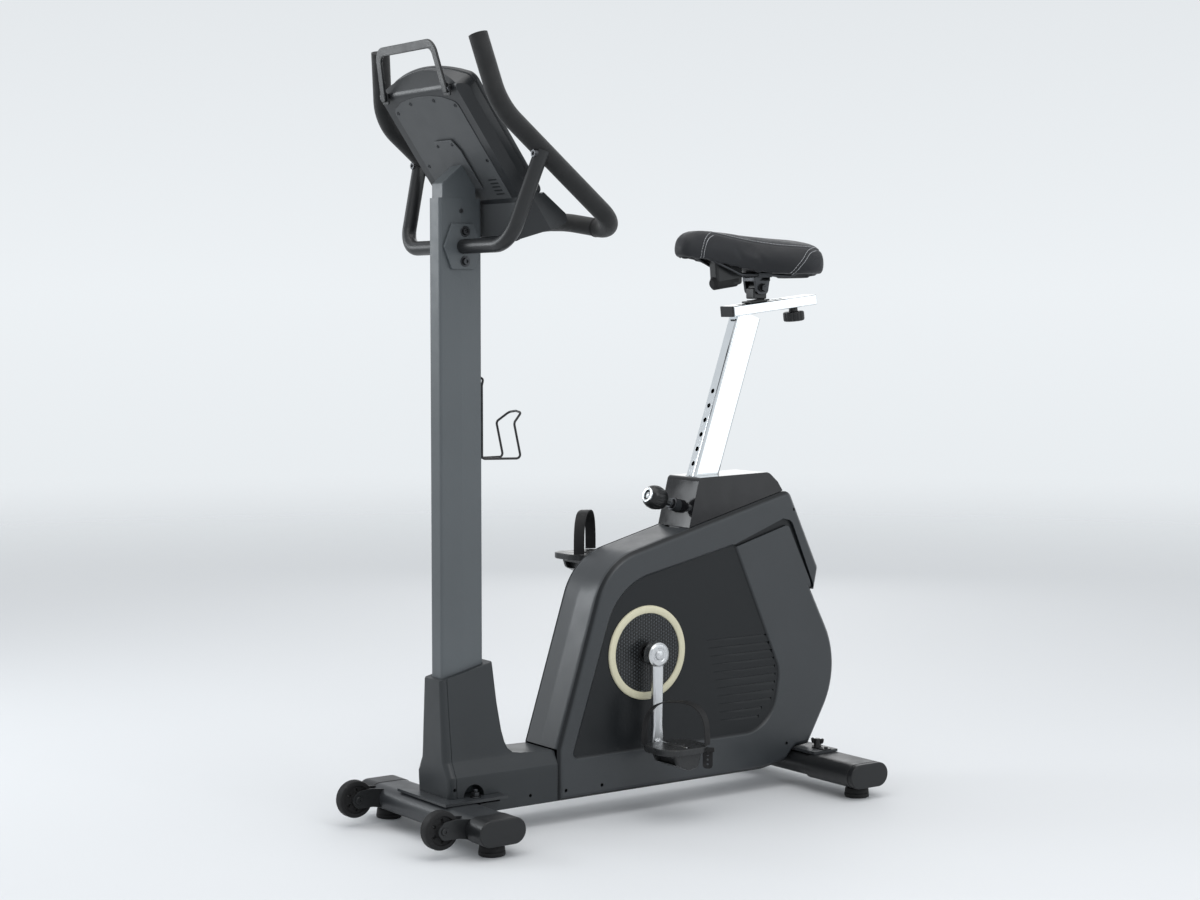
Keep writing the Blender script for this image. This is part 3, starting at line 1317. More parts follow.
def pull_pin():
    """Sprung pin: ribbed black knob with a bright end ring, and a plated stem."""
    spot = along_post(PIN_DISTANCE)
    end, base, radius = 0.1202, 0.0757, 0.0235
    knob = turned("knob", [
        (0, end - 0.006), (0.0125, end - 0.006), (0.0140, end - 0.0035), (0.0155, end - 0.0030),
        (0.0200, end - 0.0070),
        (0.0226, end - 0.0130), (radius, end - 0.0190), (radius, end - 0.0245), (0.0222, end - 0.0300),
        (0.0200, base + 0.0070), (0.0172, base + 0.0030), (0.0135, base), (0, base),
    ], spot, PIN_ROTATION, 96)
    turn = Matrix.Translation(spot) @ rotation_matrix(PIN_ROTATION)
    for step in range(20):
        angle = 2 * pi * step / 20
        groove = rod("groove", 0.0017, 0.030, (0, 0, 0), (0, 0, 0), 12)
        groove.data.transform(turn @ Matrix.Rotation(angle, 4, "Z")
                              @ Matrix.Translation((radius + 0.0004, 0, end - 0.0220)))
        cut(knob, groove)
    knob = solid(knob)
    dress(knob, "pin_knob", "post_pin", "matt_plastic", "satin", "pull_pin", sharp=30)
    ring = turned("ring", [
        (0.0138, end - 0.0002), (0.0118, end), (0.0098, end - 0.0006), (0.0090, end - 0.0030),
        (0.0090, end - 0.0070),
        (0.0150, end - 0.0070), (0.0150, end - 0.0034), (0.0146, end - 0.0012),
    ], spot, PIN_ROTATION, 64)
    button = turned("button", [
        (0, end - 0.0020), (0.0040, end - 0.0022), (0.0060, end - 0.0034), (0.0062, end - 0.0070),
        (0, end - 0.0070),
    ], spot, PIN_ROTATION, 48)
    stem = turned("stem", [
        (0, base + 0.001), (0.0066, base + 0.001), (0.0066, 0.0415), (0.0043, 0.0415), (0.0043, 0.0304),
        (0, 0.0304),
    ], spot, PIN_ROTATION, 40)
    nut = plate("nut", [circle(0.0105, 6)], 0.0055, (0, 0, 0), (0, 0, 0), 0.0007)
    nut.data.transform(turn @ Matrix.Translation((0, 0, 0.0580)))
    dress(merged("bright", [ring, button, stem]), "pin_metal", "post_pin", "chrome", "chrome")
    collar = rod("collar", 0.0128, 0.0100, along_post(PIN_DISTANCE, 0.0500), PIN_ROTATION, 48, 0.0012)
    dress(merged("collar", [collar, nut]), "pin_collar", "frame", "steel", "black_steel")


def rail_knob():
    spot = rail_point(rail_distance(0.453), -RAIL_HEIGHT / 2 + 0.0035)
    knob = turned("knob", [
        (0, 0.0145), (0.0042, 0.0145), (0.0042, -0.0045), (0.0082, -0.0045), (0.0088, -0.0052),
        (0.0092, -0.0112),
        (0.0180, -0.0116), (0.0205, -0.0128), (0.0215, -0.0150), (0.0215, -0.0282), (0.0204, -0.0304),
        (0.0180, -0.0315),
        (0, -0.0315),
    ], spot, RAIL_ROTATION, 96)
    turn = Matrix.Translation(spot) @ rotation_matrix(RAIL_ROTATION)
    for step in range(16):
        groove = rod("flute", 0.0024, 0.030, (0, 0, 0), (0, 0, 0), 16)
        groove.data.transform(turn @ Matrix.Rotation(2 * pi * step / 16, 4, "Z")
                              @ Matrix.Translation((0.0228, 0, -0.0225)))
        cut(knob, groove)
    dress(solid(knob, 0.0004, 2, 50), "clamp_knob", "slider_knob", "matt_plastic", "satin", "rail_knob",
          sharp=32)


SADDLE_FRONT = 0.1555
SADDLE_REAR = 0.462


def saddle_rows():
    """Rows from nose to rear: y, half width, top at the middle, underside at the edge."""
    return (
        (SADDLE_FRONT + 0.003, 0.012, 1.0860, 1.0715), (SADDLE_FRONT + 0.012, 0.0225, 1.1050, 1.0625),
        (SADDLE_FRONT + 0.035, 0.029, 1.1165, 1.0585), (SADDLE_FRONT + 0.075, 0.032, 1.1165, 1.0505),
        (SADDLE_FRONT + 0.125, 0.039, 1.1115, 1.0385), (SADDLE_FRONT + 0.165, 0.057, 1.1055, 1.0265),
        (SADDLE_FRONT + 0.205, 0.087, 1.1015, 1.0205), (SADDLE_FRONT + 0.245, 0.109, 1.0995, 1.0195),
        (SADDLE_FRONT + 0.278, 0.108, 1.0985, 1.0200), (SADDLE_FRONT + 0.295, 0.098, 1.0955, 1.0212),
        (SADDLE_REAR - 0.003, 0.074, 1.0860, 1.0280),
    )


def spline_value(rows, column, y):
    """Catmull-Rom value of one column of the rows at a given y."""
    for index in range(len(rows) - 1):
        if rows[index][0] <= y <= rows[index + 1][0]:
            break
    before, first, second, after = (rows[min(max(index + step, 0), len(rows) - 1)] for step in (-1, 0, 1,
                                                                                                2))
    share = (y - first[0]) / (second[0] - first[0])
    slope_in = (second[column] - before[column]) / max(second[0] - before[0], 1e-9) * (second[0] - first[0])
    slope_out = (after[column] - first[column]) / max(after[0] - first[0], 1e-9) * (second[0] - first[0])
    square, cube = share * share, share ** 3
    return ((2 * cube - 3 * square + 1) * first[column] + (cube - 2 * square + share) * slope_in
            + (3 * square - 2 * cube) * second[column] + (cube - square) * slope_out)


def saddle_cushion():
    """Padded saddle: a closed form blown up a little as cloth, then seamed and stitched."""
    rows = saddle_rows()
    count = 40
    rings = []
    for step in range(count + 1):
        y = rows[0][0] + (rows[-1][0] - rows[0][0]) * step / count
        half, top, bottom = (spline_value(rows, column, y) for column in (1, 2, 3))
        height = top - bottom
        ring = []
        around = 48
        for turn in range(around):
            angle = 2 * pi * turn / around
            across = abs(cos(angle)) ** 0.62 * (1 if cos(angle) > 0 else -1)
            up = sin(angle)
            if up >= 0:
                level = 0.42 + 0.58 * up ** 0.80 - 0.018 * max(0.0, 1 - (across / 0.28) ** 2)
            else:
                level = 0.42 - 0.42 * abs(up) ** 0.75
            ring.append((half * across, y, bottom + height * level))
        rings.append(ring)
    cushion = lofted("cushion", rings)
    cushion = baked(cushion)
    cavity_rows = rows[1:-1]
    cavity = []
    for y, half, top, bottom in cavity_rows:
        inside = max(half - 0.012, 0.004)
        cavity.append([(inside, y, bottom - 0.03), (inside, y, bottom + 0.016),
                       (-inside, y, bottom + 0.016), (-inside, y, bottom - 0.03)])
    cushion = solid(cut(cushion, lofted("cavity", cavity)))
    remesh = cushion.modifiers.new("voxels", "REMESH")
    remesh.mode = "VOXEL"
    remesh.voxel_size = 0.0045
    cushion = baked(cushion)
    cushion = blown_up(cushion)
    smooth = cushion.modifiers.new("relax", "SMOOTH")
    smooth.factor = 0.5
    smooth.iterations = 4
    finer = cushion.modifiers.new("finer", "SUBSURF")
    finer.levels = 1
    finer.render_levels = 1
    cushion = baked(cushion)
    seam_grooves(cushion)
    dress(cushion, "saddle_cover", "saddle", "leather", "leather", "saddle_cushion", sharp=75,
          weighted=False)
    stitching(cushion)


def blown_up(obj):
    """Let the cover swell as cloth under a little pressure, held where it is tacked to its base."""
    start = [vertex.co.copy() for vertex in obj.data.vertices]
    low_edge = {vertex.index for vertex in obj.data.vertices if vertex.normal.z < -0.5}
    pins = obj.vertex_groups.new(name="tacked")
    pins.add(list(low_edge), 1.0, "REPLACE")
    cloth = obj.modifiers.new("cloth", "CLOTH")
    cloth.settings.quality = 5
    cloth.settings.mass = 0.4
    cloth.settings.tension_stiffness = 25
    cloth.settings.compression_stiffness = 25
    cloth.settings.bending_stiffness = 2.0
    cloth.settings.use_pressure = True
    cloth.settings.uniform_pressure_force = 4.0
    cloth.settings.vertex_group_mass = "tacked"
    cloth.settings.effector_weights.gravity = 0.0
    cloth.collision_settings.use_collision = False
    scene = bpy.context.scene
    for number in range(1, 21):
        scene.frame_set(number)
    swollen = baked(obj)
    scene.frame_set(1)
    cap = 0.0045
    for vertex, rest in zip(swollen.data.vertices, start):
        move = vertex.co - rest
        if move.length > cap:
            vertex.co = rest + move * (cap / move.length)
    return swollen


def seam_paths():
    """Seams in the side view (y, z): round the nose, along the side and across the rear quarter."""
    nose = rounded([
        (0.2010, 1.0530), (0.1975, 1.0760), ((0.2060, 1.1040), 0.030), (0.2330, 1.1120),
    ], closed=False, steps=8)
    side = [
        (0.2330, 1.1120), (0.2800, 1.1030), (0.3200, 1.0950), (0.3600, 1.0880), (0.4000, 1.0850),
        (0.4300, 1.0830),
        (0.4560, 1.0780),
    ]
    rear = rounded([
        (0.3680, 1.0190), (0.3830, 1.0480), ((0.4050, 1.0770), 0.030), (0.4320, 1.0830),
    ], closed=False, steps=8)
    return {"nose": nose, "side": side, "rear": rear}


def evenly(path, spacing):
    """Points at an even spacing along a polyline."""
    points = [Vector(point) for point in path]
    spots, left = [points[0].copy()], spacing
    for start, end in zip(points, points[1:]):
        length = (end - start).length
        travelled = 0.0
        while length - travelled >= left:
            travelled += left
            spots.append(start.lerp(end, travelled / length))
            left = spacing
        left -= length - travelled
    return spots


def on_saddle(tree, y, z, sign):
    """Where a line along X from the side meets the saddle."""
    hit, normal, _, _ = tree.ray_cast(Vector((sign * 0.3, y, z)), Vector((-sign, 0, 0)))
    return hit, normal


def seam_grooves(cushion):
    """Draw the cover in by a millimetre or so along each seam."""
    tree = BVHTree.FromObject(cushion, bpy.context.evaluated_depsgraph_get())
    lines = []
    for path in seam_paths().values():
        for sign in (1, -1):
            for spot in evenly(path, 0.0015):
                hit, _ = on_saddle(tree, spot.x, spot.y, sign)
                if hit:
                    lines.append(hit)
    if not lines:
        return
    near = KDTree(len(lines))
    for index, point in enumerate(lines):
        near.insert(point, index)
    near.balance()
    reach, deep = 0.0050, 0.0011
    for vertex in cushion.data.vertices:
        _, _, distance = near.find(vertex.co)
        if distance < reach:
            vertex.co -= vertex.normal * (deep * (1 - (distance / reach) ** 2) ** 2)


def stitching(cushion):
    """Rows of pale stitches beside each seam, laid on the cover."""
    tree = BVHTree.FromObject(cushion, bpy.context.evaluated_depsgraph_get())
    pitch, length, radius = 0.0052, 0.0040, 0.00042
    stitches = []
    rows = {"nose": (-0.0030, 0.0030), "side": (0.0028,), "rear": (-0.0030, 0.0030)}
    for name, path in seam_paths().items():
        for offset in rows[name]:
            spots = evenly(path, pitch)
            for sign in (1, -1):
                for start, after in zip(spots, spots[1:]):
                    along = (after - start).normalized()
                    aside = Vector((-along.y, along.x)) * offset
                    ends = []
                    for share in (0.0, 0.5, 1.0):
                        flat = start + along * (length * share) + aside
                        hit, normal = on_saddle(tree, flat.x, flat.y, sign)
                        if hit:
                            lift = radius * (0.9 if share == 0.5 else 0.1)
                            ends.append(hit + normal * lift)
                    if len(ends) == 3 and (ends[2] - ends[0]).length < length * 2.5:
                        stitches.append(ends)
    curve = bpy.data.curves.new("stitches", "CURVE")
    curve.dimensions = "3D"
    curve.bevel_depth = radius
    curve.bevel_resolution = 1
    curve.use_fill_caps = True
    for ends in stitches:
        spline = curve.splines.new("POLY")
        spline.points.add(len(ends) - 1)
        for point, spot in zip(spline.points, ends):
            point.co = (*spot, 1)
    made = baked(put("stitches", curve))
    dress(made, "saddle_stitches", "saddle", "leather", "thread", weighted=False)


def saddle_hardware():
    """Clamp, pin, nuts and the two sprung wires under the saddle."""
    tilt, y = 1.006, 0.357
    wire_x, wire_z = 0.0245, 1.032
    half = rounded([
        (0.000, SADDLE_FRONT + 0.050, 1.0700), ((0.016, SADDLE_FRONT + 0.054, 1.0680), 0.012),
        ((wire_x, y - 0.060, wire_z), 0.030), ((wire_x, y + 0.028, wire_z), 0.030),
        ((0.036, y + 0.060, 1.0300), 0.012),
        (0.045, y + 0.068, 1.0365),
    ], closed=False, steps=8)
    wires = tube("wires", [(-px, py, pz) for px, py, pz in reversed(half[1:])] + half, 0.0032, 6)
    parts = [wires]
    for sign in (1, -1):
        low, high = ordered(sign * 0.0136, sign * 0.0196)
        parts.append(side_plate("cheek", [rounded([
            ((y - 0.014, tilt - 0.013), 0.010), ((y + 0.014, tilt - 0.013), 0.010),
            (y + 0.020, tilt + 0.021),
            (y - 0.020, tilt + 0.021),
        ], steps=8)], low, high, 0.0008))
        parts.append(plate("nut", [circle(0.0078, 6)], 0.0065, (sign * 0.0252, y, tilt), ALONG_X, 0.0007))
        parts.append(rod("washer", 0.0090, 0.0016, (sign * 0.0208, y, tilt), ALONG_X, 40, 0.0004))
    parts.append(rod("pin", 0.0040, 0.0580, (0, y, tilt), ALONG_X, 28, 0.0008))
    yoke = side_plate("yoke", [rounded([
        (y - 0.020, tilt + 0.0135), (y + 0.020, tilt + 0.0135), ((y + 0.020, tilt + 0.0225), 0.003),
        ((y - 0.020, tilt + 0.0225), 0.003),
    ], steps=5)], -0.0196, 0.0196, 0.0008)
    grip = baked(bevelled(box("grip", (-0.0295, y - 0.018, tilt + 0.0210),
                              (0.0295, y + 0.018, tilt + 0.0310)), 0.0018, 3))
    parts += [yoke, grip]
    dress(merged("clamp", parts), "saddle_hardware", "saddle", "steel", "black_steel", "saddle_clamp")


def saddle_carriage():
    """Slider in the rail with the short column that carries the saddle."""
    y, knob_y, tilt = 0.357, 0.453, 1.006
    slider = rail_box("slider", 0.0165, rail_distance(y) - 0.018, rail_distance(knob_y) + 0.014,
                      -RAIL_HEIGHT / 2 + 0.0029, RAIL_HEIGHT / 2 - 0.0029)
    neck = rail_box("neck", 0.0080, rail_distance(y) - 0.016, rail_distance(y) + 0.016, 0, 0.016)
    column = baked(bevelled(box("column", (-0.013, y - 0.017, 0.9840), (0.013, y + 0.017, 1.0060)), 0.003,
                            3))
    lug = rod("lug", 0.012, 0.026, (0, y, tilt), ALONG_X, 48, 0.001)
    flange = rail_box("flange", 0.0155, rail_distance(y) - 0.024, rail_distance(y) + 0.024,
                      RAIL_HEIGHT / 2 + SEAM,
                      RAIL_HEIGHT / 2 + 0.0042)
    flange = baked(bevelled(flange, 0.0012, 2))
    hole = rod("thread", 0.0046, 0.05, rail_point(rail_distance(knob_y)), RAIL_ROTATION, 24)
    bore = rod("bore", 0.0046, 0.10, (0, y, tilt), ALONG_X, 24)
    join(slider, neck, column, lug)
    cut(slider, hole, bore)
    whole = merged("carriage", [solid(slider, 0.0004, 2, 50), flange])
    dress(whole, "saddle_column", "saddle_slider", "frame_paint", "coat_dark", "saddle_carriage")


def saddle_base():
    """Moulded pan under the cushion and the rubber hood in front of the clamp."""
    hood = rod("hood", 0.0130, 0.0640, (0, 0.2745, 1.0175), (radians(8) - pi / 2, 0, 0), 48, 0.0050)
    web = baked(bevelled(box("web", (-0.0060, 0.2560, 1.0200), (0.0060, 0.3000, 1.0560)), 0.0015, 2))
    hood = merged("hood", [hood, web])
    dress(hood, "saddle_hood", "saddle", "rubber", "rubber")
    repaint("shell_dark", "saddle_base")


# ---------------------------------------------------------------- console

SCREEN_TILT = radians(35.0)
SCREEN_DOWN = Vector((0, sin(SCREEN_TILT), -cos(SCREEN_TILT)))
SCREEN_OUT = Vector((0, cos(SCREEN_TILT), sin(SCREEN_TILT)))
SCREEN_ROTATION = (pi / 2 - SCREEN_TILT, 0, pi)
CONSOLE_TOP = Vector((0, -0.412, 1.397))
CONSOLE_HALF = 0.143
SCREEN_LENGTH = 0.275
FACE = 0.010
BACK_TOP = Vector((0, -0.4320, 1.3500))
BACK_LOW = Vector((0, -0.3000, 1.1630))


def on_screen(x, down, out=0.0):
    return CONSOLE_TOP + Vector((x, 0, 0)) + SCREEN_DOWN * down + SCREEN_OUT * out


def face_outline(shrink=0.0, longer=0.0):
    half = CONSOLE_HALF - shrink
    top = SCREEN_LENGTH / 2 - shrink
    low = -top - longer
    crown = 0.026
    corners = [((half, low), 0.016), ((half, top - crown), 0.020)]
    shares = [0.76 - 0.08 * step for step in range(20)]
    corners += [(half * share, top - crown * share ** 2) for share in shares]
    corners += [((-half, top - crown), 0.020), ((-half, low), 0.016)]
    return rounded(corners, steps=10)


def console_case():
    top_edge = on_screen(0, -0.002, -FACE - SEAM)
    step_edge = on_screen(0, SCREEN_LENGTH + SEAM, -FACE - SEAM)
    lip_edge = on_screen(0, SCREEN_LENGTH + SEAM)
    outline = rounded([
        (top_edge.y, top_edge.z), ((BACK_TOP.y, BACK_TOP.z), 0.016), ((BACK_LOW.y, BACK_LOW.z), 0.010),
        ((-0.2960, 1.0840), 0.007), ((-0.2005, 1.1190), 0.009), ((-0.2065, 1.1350), 0.007),
        (lip_edge.y, lip_edge.z),
        (step_edge.y, step_edge.z),
    ], steps=8)
    case = side_plate("case", [outline], -CONSOLE_HALF, CONSOLE_HALF)
    face_middle = on_screen(0, SCREEN_LENGTH / 2)
    silhouette = plate("silhouette", [face_outline(0.0012, 0.09)], 0.40, face_middle, SCREEN_ROTATION)
    combine(case, silhouette, "INTERSECT")
    for sign in (1, -1):
        rings = []
        for down in (-0.10, SCREEN_LENGTH + 0.10):
            rings.append([
                tuple(on_screen(sign * (CONSOLE_HALF + 0.002), down, -0.020)),
                tuple(on_screen(sign * (CONSOLE_HALF + 0.06), down, -0.020)),
                tuple(on_screen(sign * (CONSOLE_HALF + 0.06), down, -0.14)),
                tuple(on_screen(sign * (CONSOLE_HALF - 0.072), down, -0.14)),
            ])
        cut(case, lofted("side_slope", rings))
    case = solid(case, 0.0045, 4, 26)
    dress(case, "console_case", "frame", "matt_plastic", "case", "console_back", sharp=30)

    panel_outline = rounded([
        ((0.1080, -0.1180), 0.010), ((0.1080, 0.0900), 0.016), (0.0700, 0.1040), (0.0350, 0.1090),
        (0.0, 0.1105),
        (-0.0350, 0.1090), (-0.0700, 0.1040), ((-0.1080, 0.0900), 0.016), ((-0.1080, -0.1180), 0.010),
    ], steps=8)
    back_line = (BACK_TOP - BACK_LOW).normalized()
    behind = Vector((0, -back_line.z, back_line.y))
    lean = atan2(-back_line.y, back_line.z)
    panel_middle = (BACK_TOP + BACK_LOW) / 2 - back_line * 0.006
    panel = plate("panel", [panel_outline], 0.0016, panel_middle + behind * 0.0004, (pi / 2 + lean, 0, 0),
                  0.0005)
    dress(panel, "console_back_panel", "frame", "matt_plastic", "case_panel")

    heads = []
    for x, up in ((0.098, 0.084), (0.040, 0.099), (-0.040, 0.099), (-0.098, 0.084), (0.099, -0.030),
                  (-0.099, -0.030)):
        spot = panel_middle + back_line * up + Vector((x, 0, 0)) + behind * 0.0010
        heads.append(screw_head(0.0036, 0.0014, spot, (pi / 2 + lean, 0, 0)))
    dress(merged("heads", heads), "console_screws", "frame", "steel", "black_steel")
    vents(panel_middle, back_line, behind, lean)
    low_panel()
    return panel_middle, back_line, behind, lean


def low_panel():
    """Lighter cover on the lower back of the console, above its lip."""
    panel = plate("panel", [rectangle(0.252, 0.058, 0.008)], 0.0020, (0, -0.2985, 1.1240),
                  (pi / 2 + 0.05, 0, 0), 0.0006)
    dress(panel, "console_low_panel", "frame", "matt_plastic", "case_panel")


def vents(middle, up, behind, lean):
    """Speaker slots low on the back panel, either side of the neck."""
    slots = []
    for sign in (1, -1):
        for step in range(5):
            spot = middle - up * (0.070 + 0.0075 * step) + Vector((sign * 0.080, 0, 0)) + behind * 0.0008
            slots.append(plate("slot", [rectangle(0.026, 0.0026, 0.0012, 4)], 0.0014, spot,
                               (pi / 2 + lean, 0, 0)))
    dress(merged("slots", slots), "console_vents", "frame", "matt_plastic", "shell_dark")


def console_front():
    """Face with its glass, a generic display and three keys."""
    face_middle = on_screen(0, SCREEN_LENGTH / 2)
    face = plate("face", [face_outline()], FACE, face_middle - SCREEN_OUT * FACE / 2, SCREEN_ROTATION,
                 0.0028)
    pocket = plate("pocket", [rectangle(0.2250, 0.1510, 0.007)], 0.0064, on_screen(0, 0.105),
                   SCREEN_ROTATION)
    cut(face, pocket)
    for across in (-0.060, 0.0, 0.060):
        cut(face, rod("hole", 0.0115, 0.05, on_screen(across, 0.222), SCREEN_ROTATION, 48))
    face = solid(face, 0.0004, 2, 50)
    dress(face, "console_bezel", "frame", "matt_plastic", "case", "console_face", sharp=32)
    glass = plate("glass", [rectangle(0.2240, 0.1500, 0.0065)], 0.0026, on_screen(0, 0.105, -0.0015),
                  SCREEN_ROTATION, 0.0004)
    dress(glass, "console_window", "frame", "glass", "glass", "console_glass")
    bars = []
    for column in range(12):
        tall = 0.008 + 0.020 * abs(sin(0.55 * column + 0.4))
        bars.append(plate("bar", [rectangle(0.0085, tall, 0.001)], 0.0003,
                          on_screen(-0.075 + 0.0136 * column, 0.158 - tall / 2, -0.00005),
                          SCREEN_ROTATION))
    for row, count in ((0.055, 4), (0.084, 4)):
        for column in range(count):
            spot = on_screen(-0.075 + 0.050 * column, row, -0.00005)
            bars.append(plate("cell", [rectangle(0.040, 0.019, 0.003), rectangle(0.038, 0.017, 0.002)],
                              0.0003, spot, SCREEN_ROTATION))
    dress(merged("bars", bars), "console_display", "frame", "glass", "display")
    for across, name, body in ((-0.060, "mode", "mode_button"), (0.0, "start_stop", "start_button"),
                               (0.060, "recovery", "recovery_button")):
        key = turned("key", [
            (0, 0.0026), (0.0060, 0.0024), (0.0090, 0.0018), (0.0104, 0.0006), (0.0108, -0.0015),
            (0.0108, -0.0058), (0, -0.0058),
        ], on_screen(across, 0.222), SCREEN_ROTATION, 56)
        dress(key, f"key_{name}", body, "matt_plastic", "key", f"button_{name}")


def console_neck(back_line, behind, lean):
    """Screwed plate with cut corners behind the console, and the block that joins it to the mast."""
    outline = rounded([
        (-0.0400, -0.0500), ((-0.0400, 0.0300), 0.002), ((-0.0290, 0.0540), 0.005),
        ((0.0290, 0.0540), 0.005),
        ((0.0400, 0.0300), 0.002), (0.0400, -0.0500),
    ], steps=5)
    spot = BACK_LOW + back_line * 0.075 + behind * 0.0042
    cover = plate("cover", [outline], 0.0024, spot, (pi / 2 + lean, 0, 0), 0.0007)
    dress(cover, "neck_plate", "frame", "frame_paint", "case_panel")
    block_outline = rounded([
        (-0.3900, 1.1400), ((-0.3900, 1.1890), 0.004), ((-0.3420, 1.2280), 0.004), (-0.3190, 1.1980),
        (-0.3190, 1.1400),
    ], steps=5)
    block = side_plate("block", [block_outline], -0.0185, 0.0185, 0.0018)
    dress(block, "neck_block", "frame", "frame_paint", "coat", "console_neck")
    heads = [
        screw_head(0.0032, 0.0014, spot + back_line * 0.044 + Vector((x, 0, 0)) + behind * 0.0010,
                   (pi / 2 + lean, 0, 0))
        for x in (-0.024, 0.024)
    ]
    dress(merged("heads", heads), "neck_screws", "frame", "steel", "black_steel")


def tablet_loop():
    """Folding loop of flat bar over the top of the console."""
    pivot = Vector((0, -0.4340, 1.3470))
    rise = Vector((0, -0.020, 0.088))
    forward = Vector((0, -rise.z, rise.y)).normalized()
    length, half = rise.length, 0.108
    outline = rounded([
        ((half + 0.006, -0.007), 0.005), ((half - 0.008, length), 0.028), ((-half + 0.008, length), 0.028),
        ((-half - 0.006, -0.007), 0.005), ((-half + 0.008, -0.007), 0.005),
        ((-half + 0.021, length - 0.0165), 0.014),
        ((half - 0.021, length - 0.0165), 0.014), ((half - 0.008, -0.007), 0.005),
    ], steps=10)
    lean = atan2(-rise.y, rise.z)
    loop = plate("loop", [outline], 0.0046, pivot + forward * 0.0040, (pi / 2 + lean, 0, 0), 0.0012)
    dress(loop, "tablet_holder", "tablet_loop", "frame_paint", "coat_dark", "tablet_loop")
    bolts, sockets = [], []
    for sign in (1, -1):
        seat = plate("seat", [rectangle(0.022, 0.024, 0.006)], 0.0030,
                     pivot + Vector((sign * (half - 0.002), 0, -0.001)) + forward * 0.0002,
                     (pi / 2 + lean, 0, 0), 0.0010)
        sockets.append(seat)
        spot = pivot + Vector((sign * (half + 0.0068), 0, 0))
        bolts.append(screw_head(0.0050, 0.0034, spot, (0, sign * pi / 2, 0)))
    dress(merged("bolts", bolts), "holder_bolts", "tablet_loop", "steel", "black_steel")
    dress(merged("sockets", sockets), "holder_seats", "frame", "matt_plastic", "shell_dark")


# ---------------------------------------------------------------- handlebar

BAR_TOP = Vector((0.168, -0.4085, 1.4370))
BAR_BEND = Vector((0.199, -0.3850, 1.3135))
BAR_CORNER = Vector((0.199, -0.1240, 1.1020))
BAR_INNER = Vector((0.060, -0.1460, 1.1230))
GRIP_RADIUS = 0.0172
GRIP_END = 0.136


def bar_path(top):
    return rounded([
        (0.0, BAR_INNER.y + 0.004, BAR_INNER.z + 0.002), (tuple(BAR_INNER), 0.20),
        (tuple(BAR_CORNER), 0.046),
        (tuple(BAR_BEND), 0.100), tuple(top),
    ], closed=False, steps=18)


def split_path(path, x):
    """The stretches of a path before and after the first place where it passes x."""
    for index, (first, second) in enumerate(zip(path, path[1:])):
        if first[0] <= x < second[0]:
            spot = tuple(Vector(first).lerp(Vector(second), (x - first[0]) / (second[0] - first[0])))
            return path[:index + 1] + [spot], [spot] + path[index + 1:]


def handlebar():
    middle, rest = split_path(bar_path(BAR_TOP), GRIP_END)
    cross = tube("cross", [(-x, y, z) for x, y, z in reversed(middle[1:])] + middle, GRIP_RADIUS - 0.0006,
                 10)
    dress(cross, "crossbar", "frame", "frame_paint", "foam", "handlebar", sharp=60, weighted=False)

    def grip(side, sign):
        outer = [(sign * x, y, z) for x, y, z in rest]
        sleeve = tube("sleeve", outer, GRIP_RADIUS, 12)
        dress(sleeve, f"grip_{side}", "frame", "foam", "foam", f"handle_grip_{side}", sharp=60,
              weighted=False)
        spot = Vector(outer[0])
        along = (Vector(outer[1]) - spot).normalized()
        turn = along.to_track_quat("Z", "Y").to_euler()
        ring = rod("ring", GRIP_RADIUS + 0.0008, 0.0050, spot, tuple(turn), 48, 0.0012)
        end = (Vector(outer[-1]) - Vector(outer[-2])).normalized()
        end_turn = end.to_track_quat("Z", "Y").to_euler()
        plug = turned("plug", [
            (0, 0.0010), (GRIP_RADIUS - 0.0040, 0.0010), (GRIP_RADIUS - 0.0015, 0.0002),
            (GRIP_RADIUS - 0.0005, -0.0020),
            (GRIP_RADIUS - 0.0005, -0.0040), (0, -0.0040),
        ], Vector(outer[-1]) - end * 0.0004, tuple(end_turn), 48)
        dress(merged("ends", [ring, plug]), f"grip_ends_{side}", "frame", "rubber", "rubber")

    on_both_sides(grip)


